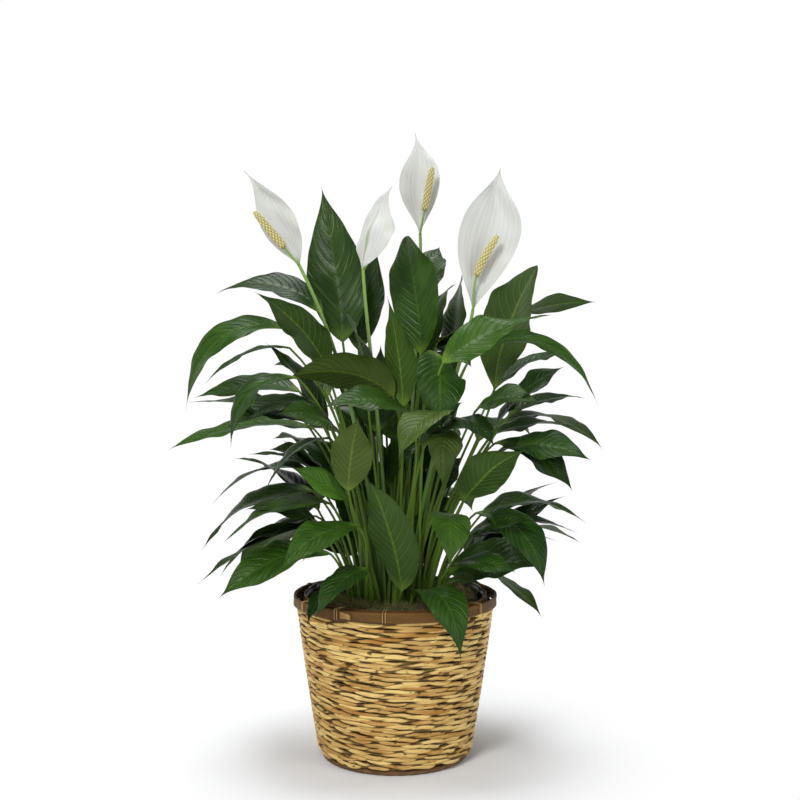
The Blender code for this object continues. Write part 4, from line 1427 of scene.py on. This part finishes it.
    def foot_ring(self) -> Surface:
        """Two strands wound round the foot, each up where the other is down."""
        angle = turns(240)
        parts = []
        for ring in range(2):
            wave = np.sin(18 * angle + ring * math.pi)
            # Painted shade that follows each strand's wave.
            parts.append(self.hoop(angle, self.foot_radius - 0.0005, 0.0036 + 0.0007 * wave,
                                   0.0034 + 0.0003 * wave, 0.0029, 10, 0.35 + 0.2 * wave, 0.3 * ring))
        return Surface.together(parts)

    def build(self) -> None:
        """Builds and dresses the basket's pieces."""
        wicker = WickerFinish().material()
        cane = WickerFinish((0.46, 0.31, 0.12), (0.28, 0.16, 0.05), (0.06, 0.03, 0.012)).material("cane")
        band = BandFinish().material("rim_bamboo")
        self.weave().piece("weave", wicker, "wicker", "basket_weave", sharp=180)
        self.weave(inside=True).piece("weave_inside", wicker, "wicker", sharp=180)
        # A darker copy of the wicker finish: painted shade for the stakes behind the weave and the foot ring
        # under the basket.
        dark = WickerFinish((0.20, 0.11, 0.045), (0.11, 0.055, 0.022)).material("wicker_dark")
        self.rods().piece("stakes", dark, "wicker_dark", "basket_stakes")
        self.base().piece("base", wicker, "wicker", "basket_base")
        self.foot_ring().piece("foot_ring", dark, "wicker_dark", "basket_foot_ring")
        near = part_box("rim_band_outer")[1][0] - 0.0035
        inner_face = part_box("rim_band_inner")[1][0] - self.INNER_BAND
        self.band(near, self.OUTER_BAND).piece("outer_band", band, "wicker_dark", "rim_band_outer")
        self.band(inner_face, self.INNER_BAND).piece("inner_band", band, "wicker_dark", "rim_band_inner")
        ties = {"tie_front": (-96.3, "rim_tie_front"), "tie_left": (-123.4, "rim_tie_left"),
                "tie_right": (-37.6, "rim_tie_right"), "tie_far_left": (-151.0,),
                "tie_back_left": (152.0,), "tie_back": (92.0,), "tie_back_right": (33.0,)}
        for name, (place, *nodes) in ties.items():
            strips = [self.tie(at, inner_face, near + 0.0036) for at in (place, place + 1.4)]
            Surface.together(strips).piece(name, cane, "cane_tie", *nodes)
        self.lap(near + self.OUTER_BAND, -120.0, -113.4).piece("band_end", cane, "cane_tie")


# ------------------------------------------------------------- inside the rim
@dataclass(frozen=True)
class FilmFinish:
    """Thin dark plastic film or moulded pot plastic."""

    colour: Colour
    gloss: float
    crease: float

    def material(self, name: str) -> bpy.types.Material:
        """Builds the material.

        Args:
            name: the material's name.

        Returns:
            The material.
        """
        g = Graph(name)
        fine = g.noise(g.place((1, 1, 0.4)), 120.0, 3.0, 0.6)
        colour = g.mix(fine * 0.5, self.colour, tuple(1.8 * c for c in self.colour))
        g.bump(fine, self.crease, 0.8)
        return g.finish(colour, self.gloss + 0.12 * fine, Specular_IOR_Level=0.3)


@dataclass(frozen=True)
class EarthFinish:
    """Crumbly soil or moss: two browns and greens in clumps, very rough."""

    first: Colour
    second: Colour
    third: Colour

    def material(self, name: str) -> bpy.types.Material:
        """Builds the material.

        Args:
            name: the material's name.

        Returns:
            The material.
        """
        g = Graph(name)
        here = g.place()
        clump, fine = g.noise(here, 70.0, 3.0), g.noise(here, 700.0, 3.0, 0.7)
        colour = g.mix(clump.ramp(0.38, 0.62), self.first, self.second)
        colour = g.mix(fine.ramp(0.52, 0.70) * 0.7, colour, self.third)
        g.bump(fine, 0.0012, 1.0)
        return g.finish(colour, 0.85 + 0.1 * fine)


@dataclass
class Filling:
    """What the basket holds: plastic liner, nursery pot, soil and moss."""

    seed: int = 7
    fibres: int = 5200

    @staticmethod
    def turned(profile: list[tuple[float, float]], wave: float = 0.0, top: float = 1.0,
               sides: int = 180, swell: float = 0.0, dip: float = 0.0) -> Surface:
        """A closed profile of (radius, z) turned round the axis, its rim waved.

        Args:
            profile: the profile's corners, in order round the section.
            wave: how far the part above `top` waves in and out and up and down.
            top: height where the waves start.
            sides: steps round the axis.
            swell: extra unevenness of the whole surface.
            dip: how much lower the part above `top` is at the front.

        Returns:
            The ring.
        """
        corners = np.array(profile)
        angle = turns(sides)[:, None]
        radius, z = corners.T
        high = smooth((z - top) / 0.010)
        crimp = wander(angle / TURN * 17, 2.0, 4) * high * wave
        uneven = swell * wander(angle / TURN * 11 + z * 60, 5.0, 4)
        reach = np.maximum(radius - np.abs(crimp) * 0.8 + uneven, 0.0002)
        level = z + high * wave * wander(angle / TURN * 9, 8.0, 3) + uneven * (z > 0.02)
        level = level - dip * high * smooth(0.5 - 0.9 * np.sin(angle))
        return Surface.skin(polar(reach, angle, level), loop=True)

    @staticmethod
    def bed(x: Array, y: Array) -> Array:
        """Height of the moss at (x, y): heaped in a ring, lower at the middle and at the edge, and lumpy."""
        r = np.hypot(x, y)
        lumps = 0.0018 * wander(x * 42 + 3, 1.0) + 0.0018 * wander(y * 46 + x * 20, 2.4)
        fine = 0.0008 * wander(x * 160 - y * 120, 3.1)
        heap = 0.0180 * smooth((r - 0.03) / 0.045) - 0.006 * smooth((r - 0.093) / 0.010)
        return 0.1800 + heap + lumps + fine

    def moss_bed(self) -> Surface:
        """Uneven cushion that fills the top of the pot out to the liner."""
        above = [*np.linspace(0.0003, 0.099, 60), 0.1015, 0.1025]
        below = [0.099, 0.06, 0.0003]
        r = np.array([*above, *below])[:, None]
        rings = polar(r, turns(160), 0.1745)
        top = rings[:len(above)]
        top[..., 2] = self.bed(top[..., 0], top[..., 1])
        return Surface.skin(rings)

    def moss_fibres(self) -> Surface:
        """Short curved hairs that stand out of the moss bed: thin three-sided cones."""
        rng = np.random.default_rng(self.seed)
        shape = (self.fibres, 1, 1)
        r = 0.101 * np.sqrt(rng.uniform(0.02, 1, shape))
        at = rng.uniform(0, TURN, shape)
        x, y = r * np.cos(at), r * np.sin(at)
        foot = self.bed(x, y) - 0.001
        lean = rng.uniform(0, TURN, shape)
        length = rng.uniform(0.004, 0.011, shape)
        tilt = rng.uniform(0.3, 1.35, shape)
        t = np.linspace(0, 1, 4)[:, None]
        thick = rng.uniform(0.00025, 0.0005, shape) * (1 - 0.8 * t)
        cone = polar(thick, turns(3), foot + length * np.cos(tilt) * t)
        cone += polar(length * np.sin(tilt) * t**1.4, lean, 0.0)
        cone += np.stack([x, y, np.zeros_like(x)], -1)
        return Surface.copies(cone, {"tint": rng.uniform(0, 1, shape)})

    def build(self) -> None:
        """Builds and dresses the filling's pieces."""
        film = FilmFinish((0.014, 0.013, 0.012), 0.28, 0.0008).material("liner_film")
        shell = FilmFinish((0.030, 0.032, 0.030), 0.42, 0.0004).material("pot_plastic")
        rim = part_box("plastic_liner")[1][0]
        lip = [(-0.0042, 0.176), (-0.0006, 0.196), (0.0002, 0.2006), (0.0016, 0.2013), (0.0040, 0.2008),
               (0.0040, 0.2012), (0.0014, 0.2019), (-0.0004, 0.2010), (-0.0012, 0.196), (-0.0050, 0.176)]
        outside = [(0.002, 0.0106), (0.081, 0.0106), (0.084, 0.0128)]
        inside = [(0.0834, 0.0136), (0.0805, 0.0112), (0.002, 0.0112)]
        liner = self.turned([*outside, *((rim + r, z) for r, z in lip), *inside], 0.0016, 0.172, dip=0.011)
        liner.piece("liner", film, "liner_plastic", "plastic_liner", sharp=180)
        pot = self.turned([(0.002, 0.0117), (0.0720, 0.0117), (0.0955, 0.1592), (0.0985, 0.1592),
                           (0.0993, 0.1732), (0.0979, 0.1732), (0.0957, 0.1597), (0.0939, 0.1572),
                           (0.0704, 0.0133), (0.002, 0.0133)])
        pot.piece("grow_pot", shell, "pot_plastic", "nursery_pot", sharp=30)
        earth = EarthFinish((0.030, 0.018, 0.010), (0.055, 0.036, 0.020), (0.16, 0.12, 0.08))
        soil = self.turned([(0.002, 0.0138), (0.0698, 0.0138), (0.0928, 0.1550), (0.0918, 0.1690),
                            (0.058, 0.1725), (0.002, 0.1725)], swell=0.0006)
        soil.piece("potting_soil", earth.material("soil"), "soil", "soil", sharp=180)
        moss = EarthFinish((0.050, 0.040, 0.013), (0.062, 0.060, 0.016), (0.20, 0.17, 0.055))
        self.moss_bed().piece("moss_cushion", moss.material("moss_bed"), "moss", "moss", sharp=180)
        g = Graph("moss_fibre")
        colour = g.mix(g.mark("tint"), (0.200, 0.140, 0.045), (0.140, 0.155, 0.036))
        g.bump(g.noise(g.place(), 2000.0), 0.0002, 0.5)
        fibre = g.finish(colour, 0.8 + 0.1 * g.noise(g.place(), 300.0))
        self.moss_fibres().piece("moss_fibres", fibre, "moss", sharp=180)


# ----------------------------------------------------------------------- stage
@dataclass
class Studio:
    """Pale floor, soft lights and the camera."""

    lens: float = 54.76
    eye: tuple[float, float, float] = (0.006, -1.5, 0.49)
    dip: float = 1.97
    floor_white: Colour = (0.93, 0.945, 0.97)
    overhead: float = 0.15
    floor_half: float = 8.0
    look_at: tuple[float, float, float] = (0.0, 0.0, 0.35)

    def lamp(self, name: str, at: tuple[float, float, float], size: float, power: float) -> None:
        """Adds a square soft light that looks at the plant.

        Args:
            name: the lamp's name.
            at: where it hangs.
            size: its side.
            power: watts.
        """
        data = bpy.data.lights.new(name, "AREA")
        data.size, data.energy = size, power
        made = bpy.data.objects.new(name, data)
        bpy.context.scene.collection.objects.link(made)
        made.location = at
        aim = unit(np.array(self.look_at) - np.array(at))
        made.rotation_euler = (math.acos(-aim[2]), 0.0, math.atan2(aim[1], aim[0]) - math.pi / 2)

    def sky(self) -> bpy.types.World:
        """Soft sky: white round the horizon and dim overhead, so that the lamps model the plant."""
        world = bpy.data.worlds.new("studio")
        world.use_nodes = True
        nodes, links = world.node_tree.nodes, world.node_tree.links
        split = nodes.new("ShaderNodeSeparateXYZ")
        links.new(nodes.new("ShaderNodeTexCoord").outputs["Generated"], split.inputs[0])
        fade = nodes.new("ShaderNodeMapRange")
        fade.interpolation_type = "SMOOTHSTEP"
        levels = {"From Min": 0.29, "From Max": 0.45, "To Min": 1.0, "To Max": self.overhead}
        for key, number in levels.items():
            fade.inputs[key].default_value = number
        links.new(split.outputs["Z"], fade.inputs["Value"])
        back = nodes["Background"]
        back.inputs["Color"].default_value = (1.0, 1.0, 1.0, 1.0)
        links.new(fade.outputs["Result"], back.inputs["Strength"])
        return world

    def build(self) -> None:
        """Builds the floor, the lights, the surroundings and the camera."""
        scene = bpy.context.scene
        half = self.floor_half
        mesh = bpy.data.meshes.new("floor")
        mesh.from_pydata([(-half, -half, 0), (half, -half, 0), (half, half, 0), (-half, half, 0)], [],
                         [(0, 1, 2, 3)])
        graph = Graph("floor")
        away = graph.value("ShaderNodeVectorMath", {"operation": "LENGTH"}, {0: graph.place()}, "Value")
        far = away.ramp(0.12, 0.38)
        black, white = (0.0, 0.0, 0.0), (1.0, 1.0, 1.0)
        material = graph.finish(graph.mix(far, self.floor_white, black), 0.8,
                                Emission_Color=graph.mix(far, black, white),
                                Emission_Strength=1.0, Specular_IOR_Level=0.0)
        mesh.materials.append(material)
        floor = bpy.data.objects.new("floor", mesh)
        scene.collection.objects.link(floor)
        scene.world = self.sky()
        scene.view_settings.view_transform = "Standard"
        self.lamp("key", (-0.8, -1.9, 1.9), 0.7, 38)
        self.lamp("fill", (1.8, -1.5, 1.1), 0.8, 8)
        self.lamp("top", (-0.15, 0.45, 2.4), 1.4, 44)
        data = bpy.data.cameras.new("camera")
        data.lens, data.sensor_width = self.lens, 36.0
        camera = bpy.data.objects.new("camera", data)
        scene.collection.objects.link(camera)
        camera.location = self.eye
        camera.rotation_euler = (math.radians(90 - self.dip), 0.0, 0.0)
        scene.camera = camera


def main() -> None:
    """Builds every sub-assembly in order."""
    logging.basicConfig(level=logging.INFO, format="%(name)s %(message)s")
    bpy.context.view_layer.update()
    for part in (Basket(), Filling(), Foliage(), Blooms(), Studio()):
        part.build()
        LOG.info("%s done", type(part).__name__)


if __name__ == "__main__":
    main()
